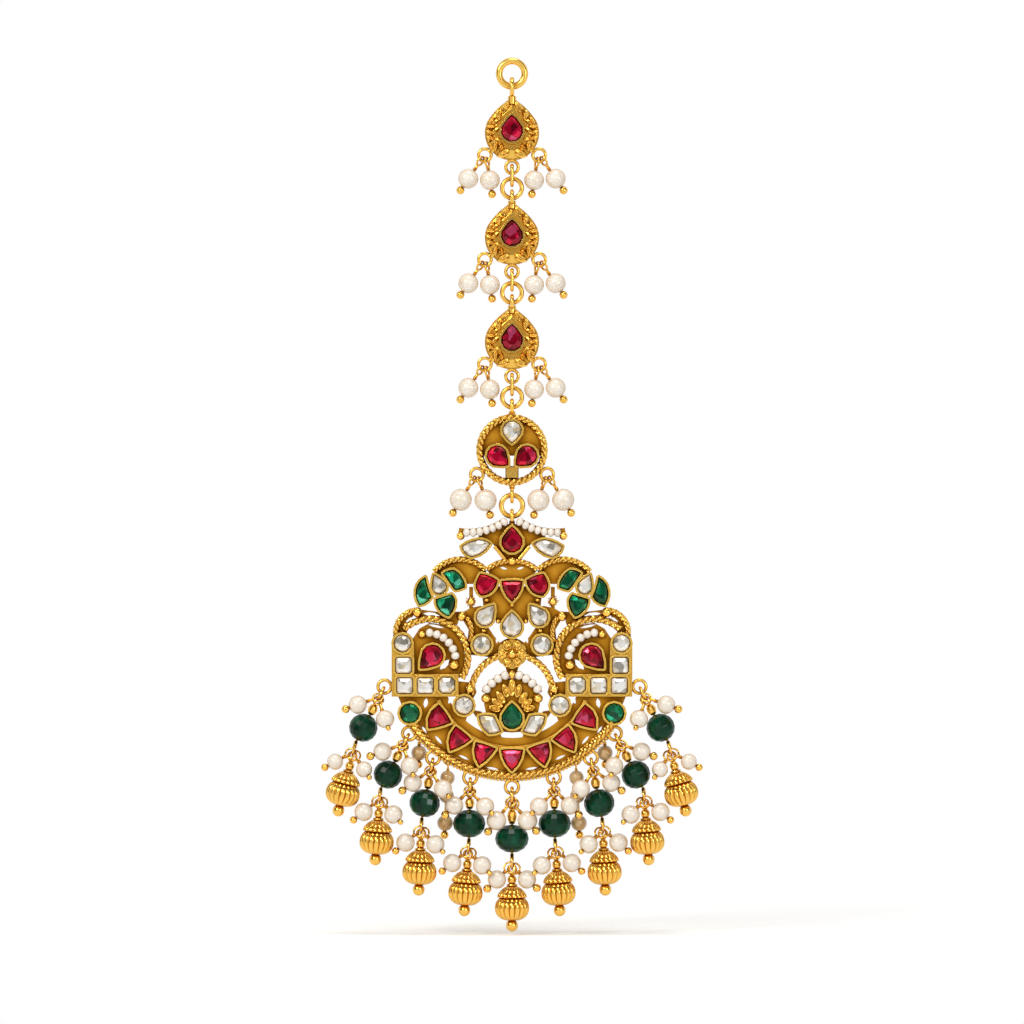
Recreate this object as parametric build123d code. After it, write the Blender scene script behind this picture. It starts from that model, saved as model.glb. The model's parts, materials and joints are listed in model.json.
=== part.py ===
from build123d import *
import os
from math import atan2, cos, degrees, pi, radians, sin, sqrt

os.makedirs("parts", exist_ok=True)

# A maang tikka: a forehead jewel that hangs from its top ring.
# Millimetres, +Z up, the face looks along -Y, the origin is the centre of the top ring.

# ------------------------------------------------------------ driving dimensions
GAP = 0.1                # clearance round each loose stone
TOP_RING_R = 2.23        # wire centre radius of the hair ring
TOP_RING_WIRE = 0.60
MOTIF_PITCH = 18.3       # from one leaf motif to the next
MOTIF_Z = -10.4          # middle of the first leaf motif
MOTIF_R = 4.75           # half width of a leaf motif
MOTIF_APEX = 6.2         # from the middle of a motif up to its tip
MOTIF_COUNT = 3
EYE_R = 1.11             # side and bottom eyes of the motifs
EYE_WIRE = 0.29
ROUND_LINK_R = 1.72
ROUND_LINK_WIRE = 0.40
OVAL_LINK_WIRE = 0.34
ROUNDEL_Z = -65.85
ROUNDEL_R = 6.2
PIVOT_Z = -77.47         # the pendant swings on the bottom wire of the last round link
LAST_LINK_R = 1.87
LAST_LINK_WIRE = 0.44
HUB_Z = -101.7           # centre of the pendant's rope rim
RIM_R = 21.2             # radius of the rope rim
ROPE_R = 0.62            # half thickness of the rope borders
PLATE_BACK = -0.8        # depths measured towards the viewer from the pendant's floor
BEZEL_TOP = 1.0
BEZEL_WALL = 0.38
STONE_BACK = 0.15
GIRDLE = 0.85
TABLE = 1.6
PEARL_HOLE = 0.36
PIN_R = 0.2
BALL_R = 0.72
BEAD_R = 3.0             # faceted green bead, 6 mm across and 5 mm high
BEAD_HALF = 2.49

FRONT = Plane(origin=(0, 0, HUB_Z), x_dir=(1, 0, 0), z_dir=(0, -1, 0))


# ------------------------------------------------------------ plane outlines
def polar(radius, angle):
    """A point at an angle in degrees."""
    return (radius * cos(radians(angle)), radius * sin(radians(angle)))


def along(start, end, share):
    """The point that lies a share of the way from start to end."""
    return (start[0] + (end[0] - start[0]) * share, start[1] + (end[1] - start[1]) * share)


def flip(points):
    """Mirror image of a list of points about the vertical middle line, wound the same way."""
    return [(-x, y) for x, y in reversed(points)]


def pear_points(tip, centre, radius, arc_sides=9):
    """A drop shape: a tip and a round end, the sides bowed slightly outward."""
    reach = sqrt((tip[0] - centre[0]) ** 2 + (tip[1] - centre[1]) ** 2)
    heading = degrees(atan2(tip[1] - centre[1], tip[0] - centre[0]))
    opening = degrees(pi / 2 - atan2(radius, sqrt(reach**2 - radius**2))) * 0.86
    points = [tip]
    for side in (1, -1):
        shoulder = polar(radius, heading + side * opening)
        shoulder = (centre[0] + shoulder[0], centre[1] + shoulder[1])
        middle = along(tip, shoulder, 0.5)
        bow = polar(radius * 0.07, heading + side * 90)
        bowed = (middle[0] + bow[0], middle[1] + bow[1])
        if side == 1:
            points.append(bowed)
            sweep_angle = 360 - 2 * opening
            for step in range(arc_sides + 1):
                x, y = polar(radius, heading + opening + sweep_angle * step / arc_sides)
                points.append((centre[0] + x, centre[1] + y))
        else:
            points.append(bowed)
    return points


def round_points(centre, radius, sides=14):
    return [
        (centre[0] + polar(radius, 360 * step / sides)[0], centre[1] + polar(radius, 360 * step / sides)[1])
        for step in range(sides)
    ]


def square_points(centre, half, cut=0.3):
    """A square with cut corners."""
    inner = half - cut
    corners = [(half, -inner), (half, inner), (inner, half), (-inner, half)]
    corners += [(-half, inner), (-half, -inner), (-inner, -half), (inner, -half)]
    return [(centre[0] + x, centre[1] + y) for x, y in corners]


def outline(points):
    """A flat face inside a closed outline."""
    return make_face(Polyline(points, close=True))


def grown(points, amount):
    """The face of an outline, widened all round."""
    return offset(outline(points), amount=amount, kind=Kind.ARC)


def arc_band(centre, radius, width, start, end):
    """A flat band along an arc, from a start to an end angle, with square ends."""
    steps = [start + (end - start) * share for share in (0, 0.5, 1)]
    outer = [polar(radius + width / 2, angle) for angle in steps]
    inner = [polar(radius - width / 2, angle) for angle in steps]
    edges = ThreePointArc(*outer) + Line(outer[2], inner[2]) + ThreePointArc(*reversed(inner))
    edges = edges + Line(inner[0], outer[0])
    return Pos(centre[0], centre[1]) * make_face(edges)


def disc(centre, radius):
    return Pos(centre[0], centre[1]) * Circle(radius)


def slab(face, bottom, top):
    """A flat face made solid between two depths."""
    return extrude(Pos(0, 0, bottom) * face, amount=top - bottom)


def facet_solid(rings):
    """A closed solid of flat faces between rings of points, each ring with the same count."""
    faces = [Face(Wire.make_polygon(rings[0])), Face(Wire.make_polygon(rings[-1]))]
    for low, high in zip(rings, rings[1:]):
        for index, corner in enumerate(low):
            following = (index + 1) % len(low)
            side = [corner, low[following], high[following], high[index]]
            spread = (Vector(*side[1]) - Vector(*side[0])).cross(Vector(*side[3]) - Vector(*side[0]))
            off_plane = abs(spread.normalized().dot(Vector(*side[2]) - Vector(*side[0])))
            if off_plane < 1e-5:
                faces.append(Face(Wire.make_polygon(side)))
            else:
                faces.append(Face(Wire.make_polygon(side[:3])))
                faces.append(Face(Wire.make_polygon([side[0], side[2], side[3]])))
    return Solid(Shell(faces))


# ------------------------------------------------------------ cut stones and their seats
# depth of each level of a cut stone, and how far its outline is drawn in there
STONE_LEVELS = [
    {"depth": STONE_BACK, "size": 0.90},
    {"depth": GIRDLE - 0.25, "size": 1.0},
    {"depth": GIRDLE, "size": 1.0},
    {"depth": GIRDLE + 0.45, "size": 0.80},
    {"depth": TABLE, "size": 0.52},
]


def cut_stone(points):
    """A stone with a flat back, a straight girdle and two rows of facets round its table."""
    middle_x = sum(x for x, _ in points) / len(points)
    middle_y = sum(y for _, y in points) / len(points)
    rings = []
    for level in STONE_LEVELS:
        size = level["size"]
        ring = [
            (middle_x + (x - middle_x) * size, middle_y + (y - middle_y) * size, level["depth"])
            for x, y in points
        ]
        rings.append(ring)
    return facet_solid(rings)


def pocket(points):
    """The hole in a bezel that takes a stone."""
    return slab(grown(points, GAP), 0, BEZEL_TOP + 1)


def bezel(points):
    """The flat face of a bezel, its pocket still filled."""
    return grown(points, GAP + BEZEL_WALL)


def leaf_points(centre, length, width, angle, steps=4):
    """A pointed leaf outline, its middle line at an angle in degrees."""
    points = []
    for side in (1, -1):
        for step in range(steps):
            share = step / steps if side == 1 else 1 - step / steps
            across = side * width / 2 * sin(pi * share) ** 0.8
            turn_x, turn_y = cos(radians(angle)), sin(radians(angle))
            reach = (share - 0.5) * length
            points.append(
                (centre[0] + reach * turn_x - across * turn_y, centre[1] + reach * turn_y + across * turn_x)
            )
    return points


# ------------------------------------------------------------ wire work
def ring(centre, radius, wire, facing=True):
    """A wire ring, facing the viewer or edge-on to them."""
    plane = Plane(origin=centre, x_dir=(1, 0, 0), z_dir=(0, -1, 0))
    if not facing:
        plane = Plane(origin=centre, x_dir=(0, 1, 0), z_dir=(1, 0, 0))
    return plane.location * Torus(radius, wire)


def oval_ring(centre, radius, straight, wire):
    """An edge-on wire link, stretched along Z by a straight length."""
    half = straight / 2
    plane = Plane(origin=centre, x_dir=(0, 1, 0), z_dir=(1, 0, 0))
    path = ThreePointArc((radius, half), (0, half + radius), (-radius, half))
    path = path + Line((-radius, half), (-radius, -half))
    path = path + ThreePointArc((-radius, -half), (0, -half - radius), (radius, -half))
    path = path + Line((radius, -half), (radius, half))
    section = Plane(origin=(radius, 0, 0), x_dir=(1, 0, 0), z_dir=(0, 1, 0)) * Circle(wire)
    return plane.location * sweep(section, path=Wire(path.edges()))


def rod(start, end, radius):
    """A straight round rod between two points."""
    axis = Vector(*end) - Vector(*start)
    plane = Plane(origin=start, z_dir=axis)
    return plane.location * extrude(Circle(radius), amount=axis.length)


def turned(profile):
    """A turned piece about Z, from rows of height and radius, top first."""
    points = [(row["radius"], row["height"]) for row in profile]
    points = [(0, profile[0]["height"])] + points + [(0, profile[-1]["height"])]
    return revolve(Plane.XZ * make_face(Polyline(points, close=True)), axis=Axis.Z)


def hung_axes(tilt, forward, turn, across):
    """Directions of a hanging wire loop: down its pin, and across its own plane.

    tilt leans the pin to +X, forward leans it to the viewer, turn rolls the loop about the pin.
    """
    down = Vector(
        sin(radians(tilt)) * cos(radians(forward)),
        -sin(radians(forward)),
        -cos(radians(tilt)) * cos(radians(forward)),
    )
    flat = (across - down * across.dot(down)).normalized()
    return down, (flat * cos(radians(turn)) + down.cross(flat) * sin(radians(turn))).normalized()


def drilled_pearl(radius):
    return Sphere(radius) - Cylinder(PEARL_HOLE, 3 * radius)


def looped_pin(loop_r, wire, reach, pearl_r, ball_r=BALL_R):
    """A pin along +Z with a loop at its top, a wrapped collar and a ball end.

    The loop's centre is the origin, and the pearl's centre is at the reach.
    """
    seat = sqrt((ball_r + GAP) ** 2 - PEARL_HOLE**2) + sqrt(pearl_r**2 - PEARL_HOLE**2)
    collar_end = reach - sqrt(pearl_r**2 - COLLAR_R**2) - GAP
    shank = [{"height": loop_r, "radius": NECK_R}]
    for turn_index in range(COLLAR_TURNS):
        crest = collar_end - COLLAR_PITCH * (COLLAR_TURNS - turn_index - 0.5)
        shank.append({"height": crest - COLLAR_PITCH / 2, "radius": NECK_R})
        shank.append({"height": crest, "radius": COLLAR_R})
    shank.append({"height": collar_end, "radius": NECK_R})
    shank.append({"height": collar_end + 0.01, "radius": PIN_R})
    shank.append({"height": reach + seat, "radius": PIN_R})
    loop = Rot(90, 0, 0) * Torus(loop_r, wire)
    return turned(shank).fuse(loop, Pos(0, 0, reach + seat) * Sphere(ball_r))


def hung_pearl(eye, row, pearl_r, across, hand=-1):
    """A pearl and its pin, hung where the row says in the eye at the given centre.

    Rows describe the left side; a hand of 1 makes the mirror image.
    """
    down, flat = hung_axes(-hand * row["tilt"], row["forward"], -hand * row["turn"], across)
    through = Vector(-hand * row["through"][0], row["through"][1], row["through"][2])
    loop_r = row["loop_r"]
    place = Plane(origin=Vector(*eye) + through + down * loop_r, x_dir=flat, z_dir=down).location
    reach = row["reach"] - loop_r
    pearl = place * Pos(0, 0, reach) * drilled_pearl(pearl_r)
    return pearl, place * looped_pin(loop_r, row["wire"], reach, pearl_r, row.get("ball_r", BALL_R))


def other_side(row):
    """The mirror image of a row that describes something on the left."""
    other = {**row, "x": -row["x"]}
    for lean in ("lean", "lower_lean"):
        if lean in row:
            other[lean] = -row[lean]
    if "start" in row:
        other["start"], other["end"] = 180 - row["end"], 180 - row["start"]
    return other


def two_sides(rows):
    """Rows of the left half, followed by their mirror images."""
    return list(rows) + [other_side(row) for row in rows]


# ------------------------------------------------------------ the chain
NECK_R = 0.27
COLLAR_R = 0.40
COLLAR_TURNS = 2
COLLAR_PITCH = 0.28
ACROSS_X = Vector(1, 0, 0)
ACROSS_Y = Vector(0, 1, 0)

# the two pearls at a motif's side eye: where the loop's wire crosses the eye, the pin's lean,
# the distance from there to the pearl's centre
MOTIF_PEARLS = [
    {"through": (-0.29, 0, -0.34), "tilt": -34.4, "forward": 0, "turn": 30, "reach": 4.60,
     "loop_r": 0.85, "wire": 0.19},
    {"through": (0.26, 0, -0.41), "tilt": 8.9, "forward": 0, "turn": 22, "reach": 4.04,
     "loop_r": 0.85, "wire": 0.19},
]
ROUNDEL_PEARLS = [
    {"through": (-0.30, 0, -0.34), "tilt": -31.5, "forward": 0, "turn": 28, "reach": 4.80,
     "loop_r": 0.85, "wire": 0.19},
    {"through": (0.27, 0, -0.41), "tilt": 17.0, "forward": 0, "turn": 20, "reach": 4.30,
     "loop_r": 0.85, "wire": 0.19},
]
MOTIF_PEARL_R = 1.75
ROUNDEL_PEARL_R = 1.95
MOTIF_EYE = (-4.75, -3.85)       # side eye, from the motif's middle
ROUNDEL_EYE = (-6.15, -4.30)
MOTIF_LIFT = 0.3                 # how much higher the motif's stone sits than the pendant's
MOTIF_RUBY = pear_points((0, 3.1), (0, 0.37), 1.86)
MOTIF_WALL = {"back": -0.9, "rim": 0.15, "crown": 0.75}      # depths of the domed body
MOTIF_STEP = {"rim": 0.3, "crown": 1.7}                     # how far each level is drawn in
PEAR_SHOULDER = 28               # angle where the round end of a drop shape meets its sides

# raised leaves of the left half of a motif: place, size and the direction each points in
LEAVES = [
    {"x": -1.15, "z": 4.05, "length": 2.5, "width": 1.0, "angle": 55, "height": 0.60},
    {"x": -2.35, "z": 3.00, "length": 2.1, "width": 0.9, "angle": 95, "height": 0.62},
    {"x": -3.00, "z": 1.90, "length": 2.1, "width": 0.9, "angle": 30, "height": 0.75},
    {"x": -3.75, "z": 1.15, "length": 2.1, "width": 0.9, "angle": 100, "height": 0.55},
    {"x": -3.05, "z": 0.35, "length": 2.0, "width": 0.9, "angle": 35, "height": 0.80},
    {"x": -3.90, "z": -0.65, "length": 2.1, "width": 0.9, "angle": 80, "height": 0.55},
    {"x": -2.85, "z": -1.30, "length": 2.0, "width": 0.9, "angle": 20, "height": 0.80},
    {"x": -3.15, "z": -2.55, "length": 2.3, "width": 1.0, "angle": 65, "height": 0.62},
    {"x": -1.80, "z": -2.45, "length": 1.9, "width": 0.9, "angle": 100, "height": 0.78},
    {"x": -1.60, "z": -3.85, "length": 2.4, "width": 1.0, "angle": 12, "height": 0.62},
]


def pear_face(tip, centre, radius, bow):
    """A drop-shaped face of three arcs."""
    left = (centre[0] + polar(radius, 180 - PEAR_SHOULDER)[0], centre[1] + polar(radius, PEAR_SHOULDER)[1])
    right = (2 * centre[0] - left[0], left[1])
    low = (centre[0], centre[1] - radius)
    rise = along(tip, right, 0.5)
    fall = along(tip, left, 0.5)
    edges = ThreePointArc(tip, (fall[0] - bow, fall[1] + bow), left)
    edges = edges + ThreePointArc(left, low, right)
    edges = edges + ThreePointArc(right, (rise[0] + bow, rise[1] + bow), tip)
    return make_face(edges)


def raised_leaf(leaf, side):
    """A pointed leaf with bevelled edges, standing on the dome."""
    angle = leaf["angle"] if side < 0 else 180 - leaf["angle"]
    points = leaf_points((-side * leaf["x"], leaf["z"]), leaf["length"], leaf["width"], angle)
    middle = (-side * leaf["x"], leaf["z"])
    levels = [(0, 1.0), (leaf["height"], 1.0), (leaf["height"] + 0.28, 0.35)]
    rings = []
    for depth, size in levels:
        rings.append([
            (middle[0] + (x - middle[0]) * size, middle[1] + (y - middle[1]) * size, depth)
            for x, y in points
        ])
    return facet_solid(rings)


def motif_body():
    """A domed teardrop with raised leaves and an open bezel, about its own middle."""
    face = pear_face((0, MOTIF_APEX), (0, 0), MOTIF_R, 0.25)
    wall = slab(face, MOTIF_WALL["back"], MOTIF_WALL["rim"])
    levels = {}
    for level, step in MOTIF_STEP.items():
        face = pear_face((0, MOTIF_APEX - step * 1.12), (0, 0), MOTIF_R - step, 0.2)
        levels[level] = Pos(0, 0, MOTIF_WALL[level]) * face
    foot, crown = levels["rim"], levels["crown"]
    body = wall + loft([foot, crown], ruled=True)
    body = body.fuse(*[raised_leaf(leaf, side) for leaf in LEAVES for side in (-1, 1)])
    body = body + slab(bezel(MOTIF_RUBY), 0, BEZEL_TOP + MOTIF_LIFT)
    body = body - Pos(0, 0, MOTIF_LIFT) * pocket(MOTIF_RUBY)
    return body


def front_plane(height):
    return Plane(origin=(0, 0, height), x_dir=(1, 0, 0), z_dir=(0, -1, 0)).location


def eye_stub(eye, side, middle):
    """The short rod that carries a side eye, from the body's edge to the eye's wire."""
    ends = [(-side * eye[0] * share, 0, middle + eye[1] * share) for share in (0.755, 0.848)]
    return rod(*ends, 0.32)


def leaf_motif(body, number):
    """One motif in its place: the domed body, its bail, its two side eyes and its bottom eye."""
    middle = MOTIF_Z - MOTIF_PITCH * number
    shape = front_plane(middle) * body
    for side in (-1, 1):
        shape = shape + ring((-side * MOTIF_EYE[0], 0, middle + MOTIF_EYE[1]), EYE_R, EYE_WIRE)
        shape = shape + eye_stub(MOTIF_EYE, side, middle)
    shape = shape + ring((0, 0, middle + BOTTOM_EYE_Z), EYE_R, EYE_WIRE)
    shape = shape + rod((0, 0, middle + 5.1), (0, 0, middle + MOTIF_APEX + 0.25), 0.72)
    if number == 0:
        return shape + ring((0, 0, FIRST_BAIL_Z), FIRST_BAIL_R, 0.40, facing=False)
    return shape + ring((0, 0, middle + BAIL_RISE), BAIL_R, BAIL_WIRE, facing=False)


BOTTOM_EYE_Z = -5.95             # bottom eye, from the motif's middle
FIRST_BAIL_Z = -2.40
FIRST_BAIL_R = 1.44
BAIL_RISE = 7.05                 # bail of the lower motifs, from the motif's middle
BAIL_R = 1.06
BAIL_WIRE = 0.36
FIRST_OVAL_Z = -17.79
FIRST_ROUND_Z = -20.05
OVAL_R = 0.90
OVAL_STRAIGHT = 1.64
LOWER_LOOP_Z = -73.75            # the roundel's soldered bottom loop
LOWER_LOOP_R = 1.15

ROUNDEL_CRYSTAL = pear_points((0, 1.25), (0, 3.45), 1.62)
ROUNDEL_RUBY = pear_points((-0.72, -2.62), (-2.62, -1.0), 1.72)


def roundel():
    """The round link: a rope rim, three bezels, a back-plate above and open windows below."""
    stones = [ROUNDEL_CRYSTAL, ROUNDEL_RUBY, flip(ROUNDEL_RUBY)]
    plate = Circle(ROUNDEL_R) - Circle(ROUNDEL_R - 1.1)
    plate = plate + (Circle(ROUNDEL_R - 0.5) & (Pos(0, 4.0) * Rectangle(14, 10)))
    plate = plate + Pos(0, -4.1) * Rectangle(2.3, 2.6)
    for points in stones:
        plate = plate + bezel(points)
    body = slab(plate, PLATE_BACK, 0)
    body = body + Pos(0, 0, 0.05) * Torus(ROUNDEL_R - 0.55, 0.57)
    body = body + Pos(0, -3.9, -0.2) * Box(2.0, 1.9, 1.6)
    for points in stones:
        body = body + slab(bezel(points), -0.2, BEZEL_TOP)
    for points in stones:
        body = body - pocket(points)
    shape = front_plane(ROUNDEL_Z) * body
    for side in (-1, 1):
        shape = shape + ring((-side * ROUNDEL_EYE[0], 0, ROUNDEL_Z + ROUNDEL_EYE[1]), EYE_R, EYE_WIRE)
        shape = shape + eye_stub(ROUNDEL_EYE, side, ROUNDEL_Z)
    bail_z = MOTIF_Z + BAIL_RISE - MOTIF_PITCH * MOTIF_COUNT
    shape = shape + ring((0, 0, bail_z), BAIL_R, BAIL_WIRE, facing=False)
    shape = shape + rod((0, 0, ROUNDEL_Z + 5.4), (0, 0, bail_z - 0.85), 0.6)
    shape = shape + ring((0, 0, LOWER_LOOP_Z), LOWER_LOOP_R, 0.33, facing=False)
    return shape + rod((0, 0, ROUNDEL_Z - 5.4), (0, 0, LOWER_LOOP_Z + 1.1), 0.5)


def chain_nodes():
    """Every piece above the pendant: name and shape."""
    nodes = {"top_ring": ring((0, 0, 0), TOP_RING_R, TOP_RING_WIRE)}
    body = motif_body()
    hooks = []
    pearls = []
    pins = []
    for number in range(MOTIF_COUNT):
        drop = -MOTIF_PITCH * number
        place = front_plane(MOTIF_Z + drop) * Pos(0, 0, MOTIF_LIFT)
        nodes[f"leaf_motif_{number + 1}"] = leaf_motif(body, number)
        nodes[f"motif_ruby_{number + 1}"] = place * cut_stone(MOTIF_RUBY)
        nodes[f"oval_link_{number + 1}"] = oval_ring(
            (0, 0, FIRST_OVAL_Z + drop), OVAL_R, OVAL_STRAIGHT, OVAL_LINK_WIRE
        )
        nodes[f"round_link_{number + 1}"] = ring(
            (0, 0, FIRST_ROUND_Z + drop), ROUND_LINK_R, ROUND_LINK_WIRE
        )
        hooks += [(MOTIF_EYE, MOTIF_Z + drop, row, MOTIF_PEARL_R) for row in MOTIF_PEARLS]
    hooks += [(ROUNDEL_EYE, ROUNDEL_Z, row, ROUNDEL_PEARL_R) for row in ROUNDEL_PEARLS]
    for hand in (-1, 1):
        for eye, middle, row, radius in hooks:
            centre = (-hand * eye[0], 0, middle + eye[1])
            pearl, pin = hung_pearl(centre, row, radius, ACROSS_Y, hand)
            pearls.append(pearl)
            pins.append(pin)
    nodes["round_link_4"] = ring((0, 0, PIVOT_Z + LAST_LINK_R), LAST_LINK_R, LAST_LINK_WIRE)
    nodes["roundel_frame"] = roundel()
    place = front_plane(ROUNDEL_Z)
    nodes["roundel_crystal"] = place * cut_stone(ROUNDEL_CRYSTAL)
    rubies = [place * cut_stone(points) for points in (ROUNDEL_RUBY, flip(ROUNDEL_RUBY))]
    nodes["roundel_rubies"] = Compound(rubies)
    nodes["chain_pearls"] = Compound(pearls)
    nodes["chain_pearl_pins"] = Compound(pins)
    return nodes


# ------------------------------------------------------------ the pendant's stones
def shaped(rows, steps=3):
    """A closed outline through rows of x and z. The side after a row bows outward by its share."""
    count = len(rows)
    area = sum(
        rows[i]["x"] * rows[(i + 1) % count]["z"] - rows[(i + 1) % count]["x"] * rows[i]["z"]
        for i in range(count)
    )
    outward = -1 if area > 0 else 1
    points = []
    for index, row in enumerate(rows):
        start = (row["x"], row["z"])
        end = (rows[(index + 1) % count]["x"], rows[(index + 1) % count]["z"])
        normal = (-(end[1] - start[1]) * outward, (end[0] - start[0]) * outward)
        cuts = steps if abs(row["bow"]) > 0.02 else 1
        for step in range(cuts):
            share = step / cuts
            lift = row["bow"] * 4 * share * (1 - share)
            x, z = along(start, end, share)
            points.append((x + normal[0] * lift, z + normal[1] * lift))
    return points


CROWN_RUBY = pear_points((0, 22.35), (0, 19.76), 1.80)
CROWN_LEAF = shaped([
    {"x": -3.85, "z": 19.45, "bow": 0.08},
    {"x": -5.85, "z": 20.15, "bow": 0.06},
    {"x": -8.75, "z": 18.95, "bow": 0.16},
    {"x": -7.05, "z": 17.20, "bow": 0.12},
])
COLLAR_SIDE = shaped([
    {"x": -5.48, "z": 14.12, "bow": 0.07},
    {"x": -2.60, "z": 13.02, "bow": 0.10},
    {"x": -3.69, "z": 10.97, "bow": 0.08},
    {"x": -5.39, "z": 10.44, "bow": 0.12},
    {"x": -6.28, "z": 12.30, "bow": 0.05},
])
COLLAR_MIDDLE = shaped([
    {"x": -1.78, "z": 12.84, "bow": 0.04},
    {"x": 1.78, "z": 12.84, "bow": 0.11},
    {"x": 0, "z": 9.40, "bow": 0.11},
])
BLOOM_CRYSTAL = pear_points((-13.60, 14.00), (-12.72, 11.90), 1.25)
BLOOM_LEAF_UPPER = shaped([
    {"x": -11.95, "z": 14.25, "bow": 0.10},
    {"x": -10.15, "z": 14.80, "bow": 0.08},
    {"x": -8.80, "z": 13.47, "bow": 0.08},
    {"x": -8.30, "z": 11.90, "bow": 0.05},
    {"x": -9.84, "z": 11.40, "bow": 0.06},
    {"x": -10.70, "z": 12.45, "bow": 0.0},
])
BLOOM_LEAF_OUTER = shaped([
    {"x": -15.20, "z": 13.50, "bow": 0.13},
    {"x": -16.75, "z": 11.30, "bow": 0.10},
    {"x": -16.15, "z": 8.80, "bow": 0.12},
    {"x": -14.15, "z": 10.15, "bow": -0.03},
])
BLOOM_LEAF_LOWER = shaped([
    {"x": -13.25, "z": 9.70, "bow": 0.02},
    {"x": -10.60, "z": 10.50, "bow": 0.08},
    {"x": -10.00, "z": 9.50, "bow": 0.12},
    {"x": -11.10, "z": 6.80, "bow": 0.08},
    {"x": -12.75, "z": 8.00, "bow": 0.10},
])
PEAR_SIDE = pear_points((-3.20, 8.69), (-4.76, 6.60), 1.50)
PEAR_MIDDLE = pear_points((0, 7.45), (0, 4.95), 1.72)
ROUND_CRYSTAL = round_points((-5.25, 1.77), 1.58, 12)
LOW_CRYSTAL = round_points((-8.38, -8.84), 1.60, 12)
BAR_ROUND = round_points((-19.15, 2.03), 1.50, 12)
BAR_SQUARES = [
    square_points((-18.97, -1.82), 1.40),
    square_points((-18.77, -5.36), 1.40),
    square_points((-15.16, -5.36), 1.40),
]
BAR_END = square_points((-11.42, -5.28), 1.40, cut=0.6)
SIDE_RUBY = pear_points((-16.00, -2.32), (-13.90, -0.12), 1.85)
LOTUS_EMERALD = pear_points((0, -8.45), (0, -11.10), 1.80)
LOTUS_LEAF = shaped([
    {"x": -5.75, "z": -10.75, "bow": 0.08},
    {"x": -3.20, "z": -10.75, "bow": 0.0},
    {"x": -2.00, "z": -13.35, "bow": 0.05},
    {"x": -4.00, "z": -13.75, "bow": 0.12},
])
GREEN_ROUND = round_points((-17.89, -10.20), 1.70, 12)
CRESCENT_OUTER = shaped([
    {"x": -12.81, "z": -8.75, "bow": 0.04},
    {"x": -10.70, "z": -11.76, "bow": 0.04},
    {"x": -14.58, "z": -12.80, "bow": 0.18},
])
CRESCENT_UPPER = shaped([
    {"x": -9.84, "z": -12.55, "bow": 0.03},
    {"x": -7.20, "z": -14.74, "bow": 0.05},
    {"x": -10.80, "z": -16.70, "bow": 0.15},
])
CRESCENT_LOWER = shaped([
    {"x": -6.30, "z": -15.30, "bow": 0.03},
    {"x": -2.90, "z": -16.43, "bow": 0.05},
    {"x": -5.70, "z": -19.30, "bow": 0.13},
])
CRESCENT_MIDDLE = shaped([
    {"x": -1.86, "z": -16.65, "bow": 0.03},
    {"x": 1.86, "z": -16.65, "bow": 0.10},
    {"x": 0, "z": -20.25, "bow": 0.10},
])


def both(*outlines):
    """The outlines and their mirror images."""
    return list(outlines) + [flip(points) for points in outlines]


STONES = {
    "crown_ruby": [CROWN_RUBY],
    "crown_crystals": both(CROWN_LEAF),
    "collar_rubies": both(COLLAR_SIDE) + [COLLAR_MIDDLE],
    "bloom_emeralds": both(BLOOM_LEAF_UPPER, BLOOM_LEAF_OUTER, BLOOM_LEAF_LOWER),
    "bloom_crystals": both(BLOOM_CRYSTAL),
    "pear_crystals": both(PEAR_SIDE) + [PEAR_MIDDLE],
    "round_crystals": both(ROUND_CRYSTAL, LOW_CRYSTAL),
    "bar_crystals": both(BAR_ROUND, *BAR_SQUARES, BAR_END),
    "side_rubies": both(SIDE_RUBY),
    "lotus_emerald": [LOTUS_EMERALD],
    "leaf_crystals": both(LOTUS_LEAF),
    "crescent_rubies": both(CRESCENT_OUTER, CRESCENT_UPPER, CRESCENT_LOWER) + [CRESCENT_MIDDLE],
    "round_emeralds": both(GREEN_ROUND),
}


# ------------------------------------------------------------ the pendant's frame
# rope borders, each an arc about a centre, left half of the pendant
SIDE_ROPES = [
    {"x": -14.37, "z": -0.35, "radius": 6.65, "start": -34, "end": 124, "half": 0.57},
    {"x": -0.33, "z": 10.16, "radius": 6.26, "start": 87, "end": 130, "half": 0.42},
    {"x": -9.00, "z": 10.69, "radius": 6.02, "start": 44, "end": 140, "half": 0.50},
    {"x": -16.45, "z": 3.96, "radius": 3.87, "start": 97, "end": 185, "half": 0.48},
    {"x": -11.39, "z": 3.99, "radius": 4.36, "start": -23, "end": 37, "half": 0.40},
]
MIDDLE_ROPES = [
    {"x": 0, "z": 0, "radius": RIM_R, "start": 209.5, "end": 330.5, "half": ROPE_R},
    {"x": 0, "z": -7.0, "radius": 7.2, "start": 6, "end": 174, "half": 0.55},
]
# rails that carry the rows of seed pearls
SEED_RAILS = [
    {"x": -7.48, "z": 32.31, "radius": 10.8, "start": 260, "end": 305, "half": 0.60},
    {"x": -14.88, "z": -1.15, "radius": 5.12, "start": 8, "end": 98, "half": 0.60},
    {"x": 1.10, "z": -10.09, "radius": 6.84, "start": 106, "end": 150, "half": 0.62},
]
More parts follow.
